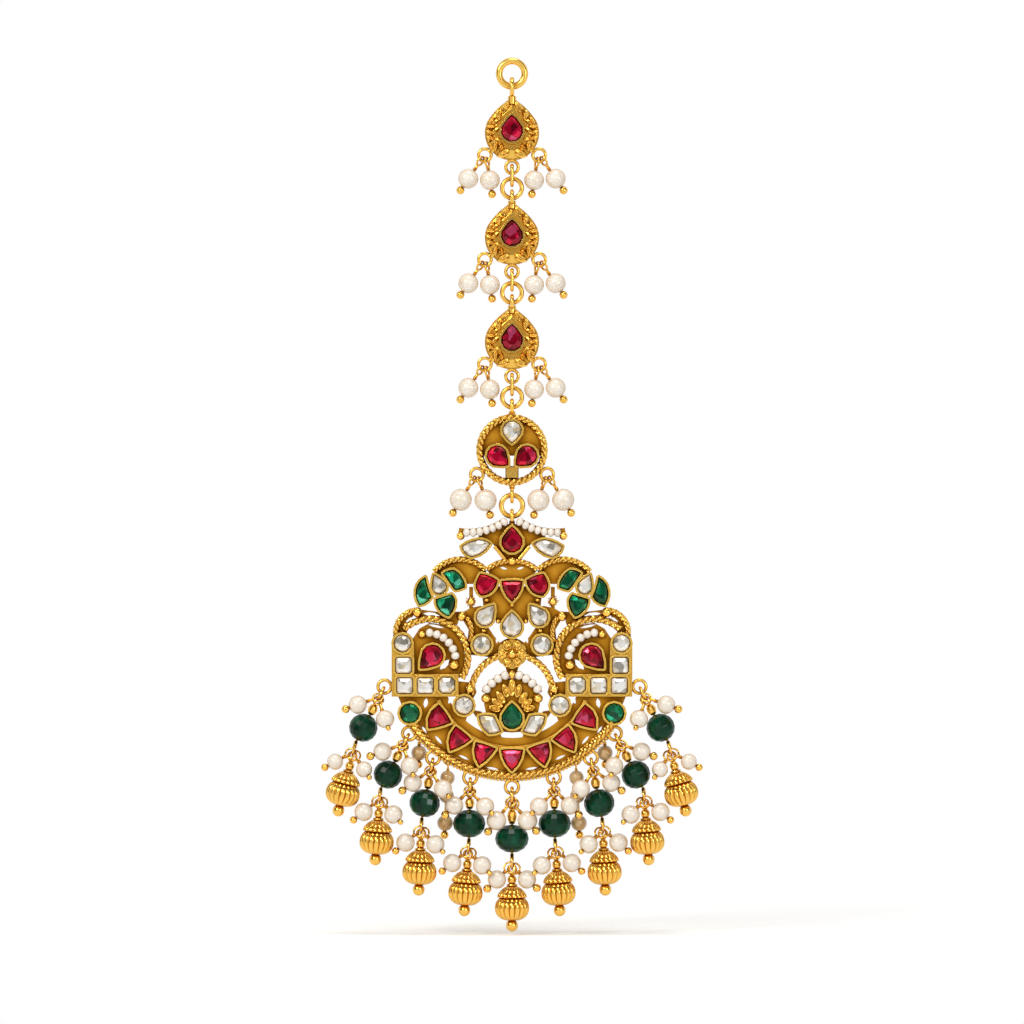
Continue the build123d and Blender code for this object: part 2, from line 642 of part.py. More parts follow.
# solid gold balls: left half, then middle
SIDE_BALLS = [
    {"x": -9.00, "z": 20.82, "radius": 0.72},
    {"x": -8.75, "z": 6.76, "radius": 0.88},
    {"x": -16.56, "z": 7.46, "radius": 0.88},
    {"x": -15.75, "z": 3.60, "radius": 0.70},
    {"x": -10.15, "z": -1.75, "radius": 0.92},
    {"x": -4.55, "z": -7.60, "radius": 0.86},
    {"x": -4.41, "z": 9.60, "radius": 0.42},
    {"x": -2.42, "z": 5.88, "radius": 0.42},
    {"x": -4.95, "z": 4.22, "radius": 0.45},
    {"x": -7.17, "z": 9.33, "radius": 0.72},
    {"x": -7.35, "z": -5.95, "radius": 0.80},
]
MIDDLE_BALLS = [
    {"x": 0, "z": 16.41, "radius": 0.82},
    {"x": 0, "z": 8.75, "radius": 0.40},
    {"x": 0, "z": -3.41, "radius": 0.66},
    {"x": 0, "z": 0.17, "radius": 0.70},
]
FLOWER = (0, 0.17)
PETALS = 6
PETAL_REACH = 1.62
PETAL_R = 1.0

# back-plated fields between the bezels, as corners of the left half
PANELS = {
    "crown": [(0, 23.0), (-2.3, 22.6), (-5.2, 21.6), (-6.0, 20.5), (-3.4, 19.5), (-1.9, 17.5), (0, 16.0)],
    "brow": [(0, 16.5), (-2.3, 16.1), (-4.5, 14.9), (-3.0, 13.2), (0, 12.6)],
    "shoulder": [
        (-4.4, 14.7), (-6.8, 15.9), (-9.2, 16.4), (-11.5, 15.9), (-13.4, 14.5), (-12.6, 13.6),
        (-9.2, 14.2), (-7.9, 12.4), (-6.4, 12.4), (-5.0, 14.0),
    ],
    "yoke": [(0, 12.0), (-3.6, 12.0), (-5.2, 10.2), (-5.0, 8.4), (-2.4, 5.6), (0, 5.6)],
    "temple": [
        (-5.4, 8.6), (-7.3, 8.2), (-8.7, 7.4), (-8.5, 5.9), (-7.6, 4.4), (-7.9, 1.6), (-7.4, 0.0),
        (-5.4, -0.2), (-2.6, -0.6), (-1.2, 1.0), (-3.2, 3.4), (-4.4, 5.2),
    ],
    "waist": [(0, 3.2), (-1.4, 2.6), (-3.6, 1.2), (-1.6, -0.6), (-0.6, -4.0), (0, -4.0)],
    "cheek": [
        (-17.4, -4.0), (-17.4, 2.8), (-16.2, 4.6), (-14.4, 5.6), (-11.6, 5.2), (-9.4, 3.4), (-8.4, 1.0),
        (-8.3, -1.8), (-9.0, -4.0),
    ],
    "fan": [
        (0, -4.2), (-1.2, -3.9), (-3.0, -4.9), (-4.4, -6.6), (-4.9, -8.6), (-4.4, -11.0), (-2.6, -13.4),
        (0, -13.6),
    ],
    "chin": [(-4.8, -12.9), (-2.4, -12.9), (-1.6, -14.9), (-4.8, -14.9)],
    "bridge": [(-9.6, -4.6), (-6.6, -4.9), (-6.2, -6.6), (-7.0, -8.0), (-9.4, -7.4), (-10.4, -7.2)],
    "hinge": [(-9.6, -9.2), (-7.4, -9.2), (-8.2, -12.0), (-10.4, -11.2)],
    "lotus_side": [(-7.2, -9.6), (-5.4, -9.9), (-4.4, -11.4), (-6.0, -11.3)],
    "outer": [(-16.3, 8.2), (-18.9, 7.4), (-20.6, 5.2), (-20.9, 2.4), (-18.0, 2.4), (-18.6, 5.0)],
    "inner_bloom": [(-16.6, 8.0), (-12.0, 7.4), (-8.6, 7.6), (-9.6, 5.2), (-12.4, 6.4), (-16.0, 6.0)],
}
# small windows cut right through: place, length, width and direction, left half
WINDOWS = [
    {"x": -3.95, "z": 16.75, "length": 2.2, "width": 1.5, "angle": -28},
    {"x": -1.45, "z": 15.15, "length": 1.3, "width": 0.42, "angle": -15},
    {"x": -7.15, "z": 10.75, "length": 1.7, "width": 0.8, "angle": 20},
    {"x": -8.95, "z": 5.50, "length": 1.6, "width": 0.8, "angle": 120},
    {"x": -14.10, "z": 7.05, "length": 3.0, "width": 0.8, "angle": -8},
    {"x": -17.80, "z": 5.85, "length": 2.4, "width": 1.2, "angle": 40},
    {"x": -13.30, "z": 5.00, "length": 3.0, "width": 0.45, "angle": -12},
    {"x": -11.80, "z": -1.70, "length": 2.4, "width": 1.1, "angle": 48},
    {"x": -6.60, "z": -1.30, "length": 1.7, "width": 0.9, "angle": 40},
    {"x": -2.50, "z": 2.75, "length": 1.6, "width": 0.6, "angle": 70},
    {"x": -15.10, "z": -8.45, "length": 1.8, "width": 0.8, "angle": 80},
    {"x": -15.35, "z": -13.10, "length": 1.5, "width": 0.45, "angle": -55},
    {"x": -12.85, "z": -14.90, "length": 2.0, "width": 0.5, "angle": -50},
    {"x": -8.45, "z": -17.95, "length": 2.0, "width": 0.45, "angle": -25},
    {"x": -3.40, "z": -19.90, "length": 2.2, "width": 0.45, "angle": -10},
    {"x": -10.80, "z": -8.00, "length": 1.3, "width": 0.7, "angle": 60},
]
STEM = [(-7.5, 11.9), (-6.8, 11.9), (-6.8, 8.0), (-7.5, 8.0)]     # carries the ball in its window
COLUMN = {"left": -21.05, "right": -17.15, "top": 2.0, "bottom": -7.30}
BAR = {"left": -20.8, "right": -9.35, "top": -3.35, "bottom": -7.30}
CRESCENT_CENTRE = (0, -2.21)
CRESCENT_INNER_R = 14.1
CRESCENT_WALL = 1.75             # width of the recessed wall inside the crescent's inner border


def arc_tube(rope):
    """A round bar bent along an arc."""
    ends = [polar(rope["radius"], rope[key]) for key in ("start", "end")]
    middle = polar(rope["radius"], (rope["start"] + rope["end"]) / 2)
    path = ThreePointArc(ends[0], middle, ends[1])
    section = Plane(origin=path @ 0, z_dir=path % 0) * Circle(rope["half"])
    return Pos(rope["x"], rope["z"], 0.1) * sweep(section, path=path)


def rope_band(rope):
    width = rope["half"] * 2 - 0.08
    return arc_band((rope["x"], rope["z"]), rope["radius"], width, rope["start"], rope["end"])


def bar_faces():
    """The channels of the two L-shaped rows of square stones, column and bar."""
    faces = []
    for box in (COLUMN, BAR):
        corners = [
            (box["left"], box["bottom"]), (box["right"], box["bottom"]),
            (box["right"], box["top"]), (box["left"], box["top"]),
        ]
        faces += [outline(points) for points in both(corners)]
    return faces


def plan():
    """Everything that stands on the pendant's back plate, seen from the front, less its windows."""
    faces = []
    for outlines in STONES.values():
        faces += [bezel(points) for points in outlines]
    for corners in PANELS.values():
        faces += [outline(points) for points in both(corners)]
    faces += [rope_band(rope) for rope in two_sides(SIDE_ROPES + SEED_RAILS) + MIDDLE_ROPES]
    faces += bar_faces()
    faces.append(disc(FLOWER, PETAL_REACH + 0.8))
    crescent = disc((0, 0), RIM_R) - disc(CRESCENT_CENTRE, CRESCENT_INNER_R - CRESCENT_WALL)
    faces.append(crescent & (Pos(0, BAR["bottom"] + 0.2 - 20) * Rectangle(60, 40)))
    whole = Sketch() + faces
    for window in WINDOWS:
        place = (window["x"], window["z"])
        points = leaf_points(place, window["length"], window["width"], window["angle"], steps=3)
        whole = whole - outline(points) - outline(flip(points))
    return whole + [outline(points) for points in both(STEM)]


BAIL_Z = -77.43
# rim eyes that carry the bead drops: place about the hub, how each drop leans above and below
# its bead, and the bead's radius; left half, then the middle one
SIDE_DROPS = [
    {"x": -22.30, "z": -5.56, "lean": 27.3, "lower_lean": 14.3, "bead_r": 2.55, "pearl_r": 1.42},
    {"x": -18.00, "z": -13.75, "lean": 27.1, "lower_lean": 4.3, "bead_r": 2.60, "pearl_r": 1.62},
    {"x": -13.80, "z": -18.00, "lean": 10.5, "lower_lean": 2.5, "bead_r": 2.75, "pearl_r": 1.62},
    {"x": -7.30, "z": -21.45, "lean": 1.2, "lower_lean": 3.8, "bead_r": 2.90, "pearl_r": 1.62},
]
MIDDLE_DROP = {"x": 0, "z": -23.13, "lean": 0, "lower_lean": 0, "bead_r": BEAD_R, "pearl_r": 1.62}
DROP_EYE_R = 1.16
DROP_EYE_WIRE = 0.29
# how the pieces under a rim eye hang, in a frame whose origin is the centre of the drop's link
LONG_DROP = {
    "eye_to_link": 1.60, "link_r": 1.40, "link_wire": 0.34, "pin_through": (0, 0.28, -0.65),
    "pin_loop_r": 0.72, "bead_z": -7.45, "pearl_r": 1.73,
    "pearls": [
        {"through": (0.35, -0.82, -0.17), "tilt": -37.3, "forward": 9.8, "turn": 29.4,
         "reach": 5.15, "loop_r": 0.95, "wire": 0.17, "ball_r": 0.72},
        {"through": (-0.33, -0.22, -0.67), "tilt": 40.7, "forward": 18.3, "turn": 23.0,
         "reach": 4.91, "loop_r": 0.95, "wire": 0.17, "ball_r": 0.72},
    ],
    "lower": [
        {"through": (0.24, -0.63, -0.28), "tilt": -46.6, "forward": 5.4, "turn": 16.3,
         "reach": 3.98, "loop_r": 0.95, "wire": 0.17, "ball_r": 0.72},
        {"through": (-0.24, -0.12, -0.56), "tilt": 49.5, "forward": 14.0, "turn": 11.7,
         "reach": 3.87, "loop_r": 0.95, "wire": 0.17, "ball_r": 0.72},
    ],
}
SHORT_DROP = {
    "eye_to_link": 1.50, "link_r": 1.28, "link_wire": 0.30, "pin_through": (0, 0.29, -0.60),
    "pin_loop_r": 0.65, "bead_z": -6.60, "pearl_r": 1.60,
    "pearls": [
        {"through": (0.39, -0.82, -0.10), "tilt": -43.0, "forward": 10.6, "turn": 26.5,
         "reach": 4.60, "loop_r": 0.85, "wire": 0.17, "ball_r": 0.72},
        {"through": (-0.34, -0.21, -0.63), "tilt": 47.6, "forward": 34.6, "turn": 29.0,
         "reach": 5.01, "loop_r": 0.85, "wire": 0.17, "ball_r": 0.46},
    ],
    "lower": [
        {"through": (0.30, -0.75, -0.21), "tilt": -47.2, "forward": 3.7, "turn": 28.7,
         "reach": 4.03, "loop_r": 0.95, "wire": 0.17, "ball_r": 0.66},
        {"through": (-0.19, -0.17, -0.51), "tilt": 48.7, "forward": 27.6, "turn": 15.4,
         "reach": 4.19, "loop_r": 0.95, "wire": 0.17, "ball_r": 0.48},
    ],
}
# the loop under a bead, which carries two pearls and the bell
LOWER_LOOP = 1.20
LOWER_WIRE = 0.20
BELL_THROUGH = (0, 0.34, -0.58)
BELL_LOOP_R = 0.75
# pins that hang behind the rim, with the distances of their pearls below the crossing
BACK_PINS = [
    {"x": -16.20, "z": -14.05, "backward": 6, "lean": 2, "pearls": [{"reach": 2.95, "radius": 1.35}]},
    {"x": -11.15, "z": -18.35, "backward": 5, "lean": 3, "pearls": [
        {"reach": 3.00, "radius": 1.28}, {"reach": 6.20, "radius": 1.31}, {"reach": 11.0, "radius": 1.40},
    ]},
]
BACK_DEPTH = 1.6
BACK_EYE_R = 0.80


def at_hub(x, z, depth=0):
    """A point of the pendant, from its place about the hub."""
    return (x, depth, HUB_Z + z)


def drop_rows():
    """The nine drops from left to right, each with its form and hand."""
    left = [(row, SHORT_DROP, -1) for row in SIDE_DROPS]
    right = [(other_side(row), SHORT_DROP, 1) for row in reversed(SIDE_DROPS)]
    return left + [(MIDDLE_DROP, LONG_DROP, -1)] + right


def relief():
    """What stands above the pendant's floor: bezels, bars, borders, balls and the flower."""
    outlines = [points for group in STONES.values() for points in group]
    raised = slab(Sketch() + [bezel(points) for points in outlines], -0.2, BEZEL_TOP)
    parts = [raised]
    parts += [slab(face, -0.1, BEZEL_TOP - 0.2) for face in bar_faces()]
    border = arc_band(CRESCENT_CENTRE, CRESCENT_INNER_R, 0.7, 204, 336)
    parts.append(slab(border, -0.1, 0.6))
    for rail in two_sides(SEED_RAILS):
        lip = arc_band((rail["x"], rail["z"]), rail["radius"], 0.7, rail["start"], rail["end"])
        parts.append(slab(lip, -0.1, 0.12))
    parts += [arc_tube(rope) for rope in two_sides(SIDE_ROPES) + MIDDLE_ROPES]
    parts += [Pos(ball["x"], ball["z"], 0.35) * Sphere(ball["radius"]) for ball in two_sides(SIDE_BALLS)]
    parts += [Pos(ball["x"], ball["z"], 0.45) * Sphere(ball["radius"]) for ball in MIDDLE_BALLS]
    for index in range(PETALS):
        x, z = polar(PETAL_REACH, 90 + 360 * index / PETALS)
        parts.append(slab(disc((FLOWER[0] + x, FLOWER[1] + z), PETAL_R), -0.1, 0.65))
    return parts


def rim_eyes():
    """The eyes soldered to the rim, and the small ones on stubs behind it."""
    parts = []
    for row, _, _ in drop_rows():
        parts.append(ring(at_hub(row["x"], row["z"]), DROP_EYE_R, DROP_EYE_WIRE))
    for row in two_sides(BACK_PINS):
        reach = RIM_R / sqrt(row["x"] ** 2 + row["z"] ** 2)
        root = at_hub(row["x"] * reach, row["z"] * reach)
        tip = at_hub(row["x"], row["z"], BACK_DEPTH)
        top = (tip[0], tip[1], tip[2] + BACK_EYE_R)
        parts += [ring(tip, BACK_EYE_R, 0.25), rod(root, top, 0.28)]
    return parts


def pendant_frame():
    """The pierced, soldered gold frame of the pendant."""
    outlines = [points for group in STONES.values() for points in group]
    body = slab(plan(), PLATE_BACK, 0)
    body = body.fuse(*relief())
    body = body.cut(*[pocket(points) for points in outlines])
    body = FRONT.location * body
    bail = ring((0, 0, BAIL_Z), 1.0, 0.33, facing=False)
    neck = rod((0, 0, BAIL_Z - 0.82), (0, 0, BAIL_Z - 2.2), 0.5)
    return body.fuse(bail, neck, *rim_eyes())


# ------------------------------------------------------------ the drops
BEAD_RINGS = [
    {"height": 1.0, "radius": 0.40},
    {"height": 0.68, "radius": 0.79},
    {"height": 0.24, "radius": 1.0},
    {"height": -0.24, "radius": 1.0},
    {"height": -0.68, "radius": 0.79},
    {"height": -1.0, "radius": 0.40},
]
BEAD_SIDES = 12
CAP_RINGS = [
    {"height": -4.30, "radius": 1.05},
    {"height": -4.95, "radius": 1.90},
    {"height": -5.75, "radius": 2.58},
    {"height": -6.25, "radius": 2.30},
]
MELON_RINGS = [
    {"height": -6.15, "radius": 1.60},
    {"height": -6.75, "radius": 2.60},
    {"height": -7.60, "radius": 3.02},
    {"height": -8.60, "radius": 3.05},
    {"height": -9.60, "radius": 2.45},
    {"height": -10.25, "radius": 1.30},
]
CAP_FLUTES = 12
MELON_FLUTES = 14
FLUTE_DEPTH = 0.10
BELL_BALL = {"height": -11.15, "radius": 1.05}


def faceted_bead(radius):
    """A rondelle whose rows of facets are turned by half a step from one to the next."""
    rings = []
    for number, row in enumerate(BEAD_RINGS):
        turn = 180 / BEAD_SIDES * (number % 2)
        circle = [polar(row["radius"] * radius, 360 * i / BEAD_SIDES + turn) for i in range(BEAD_SIDES)]
        rings.append([(x, y, row["height"] * BEAD_HALF) for x, y in circle])
    return facet_solid(rings) - Cylinder(PEARL_HOLE, 3 * BEAD_HALF)


def fluted(rows, flutes):
    """A turned form with flutes cut down its sides."""
    rings = []
    for row in rows:
        points = []
        for index in range(flutes * 2):
            radius = row["radius"] * (1 if index % 2 == 0 else 1 - FLUTE_DEPTH)
            x, y = polar(radius, 180 * index / flutes)
            points.append((x, y, row["height"]))
        rings.append(points)
    return facet_solid(rings)


def gold_bell():
    """The bell under a drop, about the centre of the loop that it hangs in."""
    x, y, z = BELL_THROUGH
    loop_z = z - BELL_LOOP_R
    barrel = [
        {"height": loop_z - 0.72, "radius": 0.30},
        {"height": -2.60, "radius": 0.70},
        {"height": -3.10, "radius": 0.79},
        {"height": -3.60, "radius": 0.66},
        {"height": -3.85, "radius": 0.55},
        {"height": -3.95, "radius": 0.95},
        {"height": -4.60, "radius": 0.95},
    ]
    body = turned(barrel).fuse(fluted(CAP_RINGS, CAP_FLUTES), fluted(MELON_RINGS, MELON_FLUTES))
    body = body + Pos(0, 0, BELL_BALL["height"]) * Sphere(BELL_BALL["radius"])
    body = Pos(x, y, 0) * body
    return body + ring((x, y, loop_z), BELL_LOOP_R, 0.20)


def leaned(origin, lean):
    """A frame that leans towards -X by an angle."""
    return Plane(origin=origin, x_dir=(cos(radians(lean)), 0, -sin(radians(lean))), z_dir=(
        sin(radians(lean)), 0, cos(radians(lean)))).location


def bead_pin(form, upper, lower):
    """The wire through a bead: a loop above, an oval spacer, and a loop below."""
    x, y, z = form["pin_through"]
    loop_z = z - form["pin_loop_r"]
    foot = loop_z - form["pin_loop_r"]
    top = form["bead_z"] + BEAD_HALF
    half = (foot - 0.12 - top - GAP) / 2
    middle = foot - 0.12 - half
    spacer = [
        {"height": middle + half, "radius": 0.30},
        {"height": middle + half * 0.6, "radius": 0.70},
        {"height": middle, "radius": 0.87},
        {"height": middle - half * 0.6, "radius": 0.70},
        {"height": middle - half, "radius": 0.45},
    ]
    joint = form["bead_z"] - BEAD_HALF - 0.40
    pin = Pos(x, y, 0) * turned(spacer) + ring((x, y, loop_z), form["pin_loop_r"], 0.20)
    pin = pin + rod((x, y, foot), (x, y, joint), PIN_R) + Pos(x, y, joint) * Sphere(0.28)
    return upper * pin + lower * ring((0, 0, 0), LOWER_LOOP, LOWER_WIRE, facing=False)


def drop(row, form, hand, bell):
    """One drop under a rim eye: its link, bead, pin, bell and four pearls with their pins."""
    eye = at_hub(row["x"], row["z"])
    upper = leaned(eye, row["lean"]) * Pos(0, 0, -form["eye_to_link"])
    bead_y = form["pin_through"][1]
    joint = upper * Pos(0, bead_y, form["bead_z"] - BEAD_HALF - 0.40)
    lower = leaned(joint.position, row["lower_lean"]) * Pos(0, 0, -LOWER_LOOP)
    pieces = {
        "link": upper * ring((0, 0, 0), form["link_r"], form["link_wire"], facing=False),
        "bead": upper * Pos(0, bead_y, form["bead_z"]) * faceted_bead(row["bead_r"]),
        "pin": bead_pin(form, upper, lower),
        "bell": lower * bell,
        "upper_pearls": [],
        "upper_pins": [],
        "lower_pearls": [],
        "lower_pins": [],
    }
    for hook in form["pearls"]:
        pearl, pin = hung_pearl((0, 0, 0), hook, form["pearl_r"], ACROSS_X, hand)
        pieces["upper_pearls"].append(upper * pearl)
        pieces["upper_pins"].append(upper * pin)
    for hook in form["lower"]:
        pearl, pin = hung_pearl((0, 0, 0), hook, row["pearl_r"], ACROSS_X, hand)
        pieces["lower_pearls"].append(lower * pearl)
        pieces["lower_pins"].append(lower * pin)
    return pieces


def back_strand(row):
    """A pin behind the rim with its pearls."""
    eye = at_hub(row["x"], row["z"], BACK_DEPTH)
    down, flat = hung_axes(-row["lean"], -row["backward"], 0, ACROSS_Y)
    start = Vector(*eye) + Vector(0, 0, -0.25)
    loop_r = 0.70
    place = Plane(origin=start + down * loop_r, x_dir=flat, z_dir=down).location
    last = row["pearls"][-1]
    pin = looped_pin(loop_r, 0.17, last["reach"] - loop_r, last["radius"])
    pearls = []
    for item in row["pearls"]:
        pearls.append(place * Pos(0, 0, item["reach"] - loop_r) * drilled_pearl(item["radius"]))
    return pearls, place * pin


def drop_nodes():
    """Every piece that hangs from the pendant's rim: name and shape."""
    nodes = {}
    kinds = ("link", "pin", "upper_pearls", "upper_pins", "lower_pearls", "lower_pins")
    fields = {kind: [] for kind in kinds}
    bell = gold_bell()
    for number, (row, form, hand) in enumerate(drop_rows(), start=1):
        pieces = drop(row, form, hand, bell)
        nodes[f"emerald_bead_{number}"] = pieces["bead"]
        nodes[f"gold_bell_{number}"] = pieces["bell"]
        for kind, field in fields.items():
            field += pieces[kind] if isinstance(pieces[kind], list) else [pieces[kind]]
    nodes["drop_links"] = Compound(fields["link"])
    nodes["bead_pins"] = Compound(fields["pin"])
    nodes["upper_pearls"] = Compound(fields["upper_pearls"])
    nodes["upper_pearl_pins"] = Compound(fields["upper_pins"])
    nodes["lower_pearls"] = Compound(fields["lower_pearls"])
    nodes["lower_pearl_pins"] = Compound(fields["lower_pins"])
    strands = [back_strand(row) for row in two_sides(BACK_PINS)]
    nodes["back_pearls"] = Compound([pearl for pearls, _ in strands for pearl in pearls])
    nodes["back_pearl_pins"] = Compound([pin for _, pin in strands])
    return nodes


def stone_nodes():
    """The pendant's stones in their seats."""
    nodes = {}
    for name, outlines in STONES.items():
        cut = [FRONT.location * cut_stone(points) for points in outlines]
        nodes[name] = cut[0] if len(cut) == 1 else Compound(cut)
    return nodes


# ------------------------------------------------------------ writing the pieces
NODES = {"pendant_frame": pendant_frame(), **chain_nodes(), **stone_nodes(), **drop_nodes()}
for node_name, node_shape in NODES.items():
    export_step(node_shape, f"parts/{node_name}.step")
    print(node_name, len(node_shape.solids()), round(node_shape.volume, 2))
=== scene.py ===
import bmesh
import bpy
import json
import random
from math import ceil, cos, degrees, pi, radians, sin
from mathutils import Matrix, Vector


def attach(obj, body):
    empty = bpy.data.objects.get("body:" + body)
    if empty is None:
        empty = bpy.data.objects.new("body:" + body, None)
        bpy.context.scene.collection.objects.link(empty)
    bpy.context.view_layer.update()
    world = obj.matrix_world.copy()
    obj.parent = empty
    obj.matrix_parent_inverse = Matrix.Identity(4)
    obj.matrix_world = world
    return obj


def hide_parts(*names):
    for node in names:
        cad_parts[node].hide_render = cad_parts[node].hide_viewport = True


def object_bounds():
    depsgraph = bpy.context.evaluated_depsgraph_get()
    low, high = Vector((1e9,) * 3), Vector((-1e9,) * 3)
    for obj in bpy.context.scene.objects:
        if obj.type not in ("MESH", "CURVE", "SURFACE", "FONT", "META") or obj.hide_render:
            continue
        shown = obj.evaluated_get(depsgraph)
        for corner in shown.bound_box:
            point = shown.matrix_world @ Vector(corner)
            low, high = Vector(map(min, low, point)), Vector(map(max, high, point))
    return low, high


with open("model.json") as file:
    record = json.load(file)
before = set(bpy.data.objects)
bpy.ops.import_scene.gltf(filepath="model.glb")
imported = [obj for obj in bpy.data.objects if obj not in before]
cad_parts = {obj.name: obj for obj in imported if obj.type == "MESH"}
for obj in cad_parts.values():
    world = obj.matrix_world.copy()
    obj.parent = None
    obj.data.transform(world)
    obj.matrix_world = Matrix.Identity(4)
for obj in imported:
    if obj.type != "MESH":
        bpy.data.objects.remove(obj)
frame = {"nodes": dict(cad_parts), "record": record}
solid_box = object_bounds()
nodes = frame["nodes"]

# A maang tikka, a forehead jewel. Sizes below are in millimetres, the blend file is in metres.
MM = 0.001
HUB_Z = -101.7           # centre of the pendant's rope rim
ROUNDEL_Z = -65.85
ROUNDEL_ROPE_R = 5.65
MOTIF_Z = -10.4          # middle of the first leaf motif
MOTIF_PITCH = 18.3


# ------------------------------------------------------------ camera, floor and light
VIEW_WIDTH = 179.2       # what the picture takes in across, at the jewel
VIEW_MIDDLE = -76.7      # height at the picture's centre
VIEW_DISTANCE = 1300.0
SENSOR = 36.0

camera_data = bpy.data.cameras.new("camera")
camera_data.sensor_width = SENSOR
camera_data.lens = SENSOR * VIEW_DISTANCE / VIEW_WIDTH
camera_data.clip_start = 0.05
camera = bpy.data.objects.new("camera", camera_data)
camera.location = (0, -VIEW_DISTANCE * MM, VIEW_MIDDLE * MM)
camera.rotation_euler = (radians(90), 0, 0)
bpy.context.scene.collection.objects.link(camera)
bpy.context.scene.camera = camera
bpy.context.scene.view_settings.view_transform = "Standard"


def linear(hex_colour):
    """The opaque linear colour of an sRGB hex value."""
    channels = [int(hex_colour[i:i + 2], 16) / 255 for i in (1, 3, 5)]
    return [c / 12.92 if c <= 0.04045 else ((c + 0.055) / 1.055) ** 2.4 for c in channels] + [1.0]


def add(tree, kind, inputs=None, **settings):
    """A node with its settings, and for each named input a value or the socket that feeds it."""
    made = tree.nodes.new("ShaderNode" + kind)
    for name, value in settings.items():
        setattr(made, name, value)
    for name, value in (inputs or {}).items():
        if isinstance(value, bpy.types.NodeSocket):
            tree.links.new(value, made.inputs[name])
        else:
            made.inputs[name].default_value = value
    return made


def ramp(tree, factor, stops):
    """A colour ramp through stops of place and hex colour."""
    made = add(tree, "ValToRGB", {"Fac": factor})
    elements = made.color_ramp.elements
    while len(elements) < len(stops):
        elements.new(0.5)
    for element, (position, colour) in zip(elements, stops):
        element.position = position
        element.color = linear(colour)
    return made.outputs["Color"]


# what polished metal mirrors of the room, from straight before the jewel (0) to straight behind it (1)
WALLS = [
    (0.0, "#2E2A26"), (0.006, "#4A443C"), (0.015, "#FFFDF8"), (0.085, "#FFFDF8"), (0.16, "#84827E"),
    (0.40, "#5C5A56"), (0.62, "#F2F2F0"), (0.86, "#DCDAD6"), (1.0, "#A4A29E"),
]


def seen_directly(tree):
    """1 where the camera, a mirror reflection or clear glass looks at the surface, else 0."""
    path = add(tree, "LightPath").outputs
    straight = add(tree, "Math", {0: path["Is Camera Ray"], 1: path["Is Glossy Ray"]}, operation="MAXIMUM")
    through = {0: straight.outputs[0], 1: path["Is Transmission Ray"]}
    return add(tree, "Math", through, operation="MAXIMUM").outputs[0]


def studio_world(light, mirrored):
    """A pale room and a white backdrop. Polished metal mirrors a ring of light round a dark lens."""
    world = bpy.data.worlds.new("studio")
    world.use_nodes = True
    tree = world.node_tree
    tree.nodes.clear()
    room = add(tree, "Background", {"Color": linear("#FBF8F4"), "Strength": light})
    way = add(tree, "SeparateXYZ", {"Vector": add(tree, "TexCoord").outputs["Generated"]})
    away = add(tree, "MapRange", {"Value": way.outputs["Y"], "From Min": -1.0, "From Max": 1.0})
    walls = ramp(tree, away.outputs["Result"], WALLS)
    straight = add(tree, "LightPath").outputs["Is Camera Ray"]
    shade = add(tree, "Mix", {0: straight, 6: walls, 7: linear("#FFFFFF")}, data_type="RGBA")
    power = add(tree, "MapRange", {"Value": straight, "To Min": mirrored, "To Max": 1.0})
    paper = add(tree, "Background", {"Color": shade.outputs[2], "Strength": power.outputs["Result"]})
    mixed = add(tree, "MixShader", {0: seen_directly(tree), 1: room.outputs[0], 2: paper.outputs[0]})
    add(tree, "OutputWorld", {"Surface": mixed.outputs[0]})
    bpy.context.scene.world = world


FLOOR_LIFT = 0.32        # the paper's own glow, which makes up what the lamps leave short of white
FLOOR_REACH = 2.5        # half the sheet's width, in metres
FLOOR_BELOW = 0.0006     # how far the sheet lies under the lowest drop, in metres
SHADOW_ENDS = (0.04, 0.13)     # between these distances from the jewel the shadow fades out, in metres


def paper_floor():
    """Matt white paper that keeps the jewel's shadow, and away from it is as white as the backdrop."""
    paper = bpy.data.materials.new("matt white paper")
    paper.use_nodes = True
    tree = paper.node_tree
    tree.nodes.clear()
    sheet = add(tree, "BsdfDiffuse", {"Color": linear("#F4F4F3")})
    seen = seen_directly(tree)
    lift = add(tree, "Math", {0: seen, 1: FLOOR_LIFT}, operation="MULTIPLY")
    glow = add(tree, "Emission", {"Color": linear("#FFFFFF"), "Strength": lift.outputs[0]})
    near = add(tree, "AddShader", {0: sheet.outputs[0], 1: glow.outputs[0]})
    away = add(tree, "VectorMath", {0: add(tree, "TexCoord").outputs["Object"]}, operation="LENGTH")
    fade = add(tree, "MapRange", {
        "Value": away.outputs["Value"], "From Min": SHADOW_ENDS[0], "From Max": SHADOW_ENDS[1],
    })
    blank = add(tree, "Math", {0: fade.outputs["Result"], 1: seen}, operation="MULTIPLY")
    white = add(tree, "Emission", {"Color": linear("#FFFFFF"), "Strength": 1.0})
    mixed = add(tree, "MixShader", {0: blank.outputs[0], 1: near.outputs[0], 2: white.outputs[0]})
    add(tree, "OutputMaterial", {"Surface": mixed.outputs[0]})
    shape = bmesh.new()
    bmesh.ops.create_grid(shape, x_segments=1, y_segments=1, size=FLOOR_REACH)
    mesh = bpy.data.meshes.new("floor")
    shape.to_mesh(mesh)
    shape.free()
    mesh.materials.append(paper)
    floor = bpy.data.objects.new("floor", mesh)
    floor.location = (0, 0, solid_box[0][2] - FLOOR_BELOW)
    bpy.context.scene.collection.objects.link(floor)


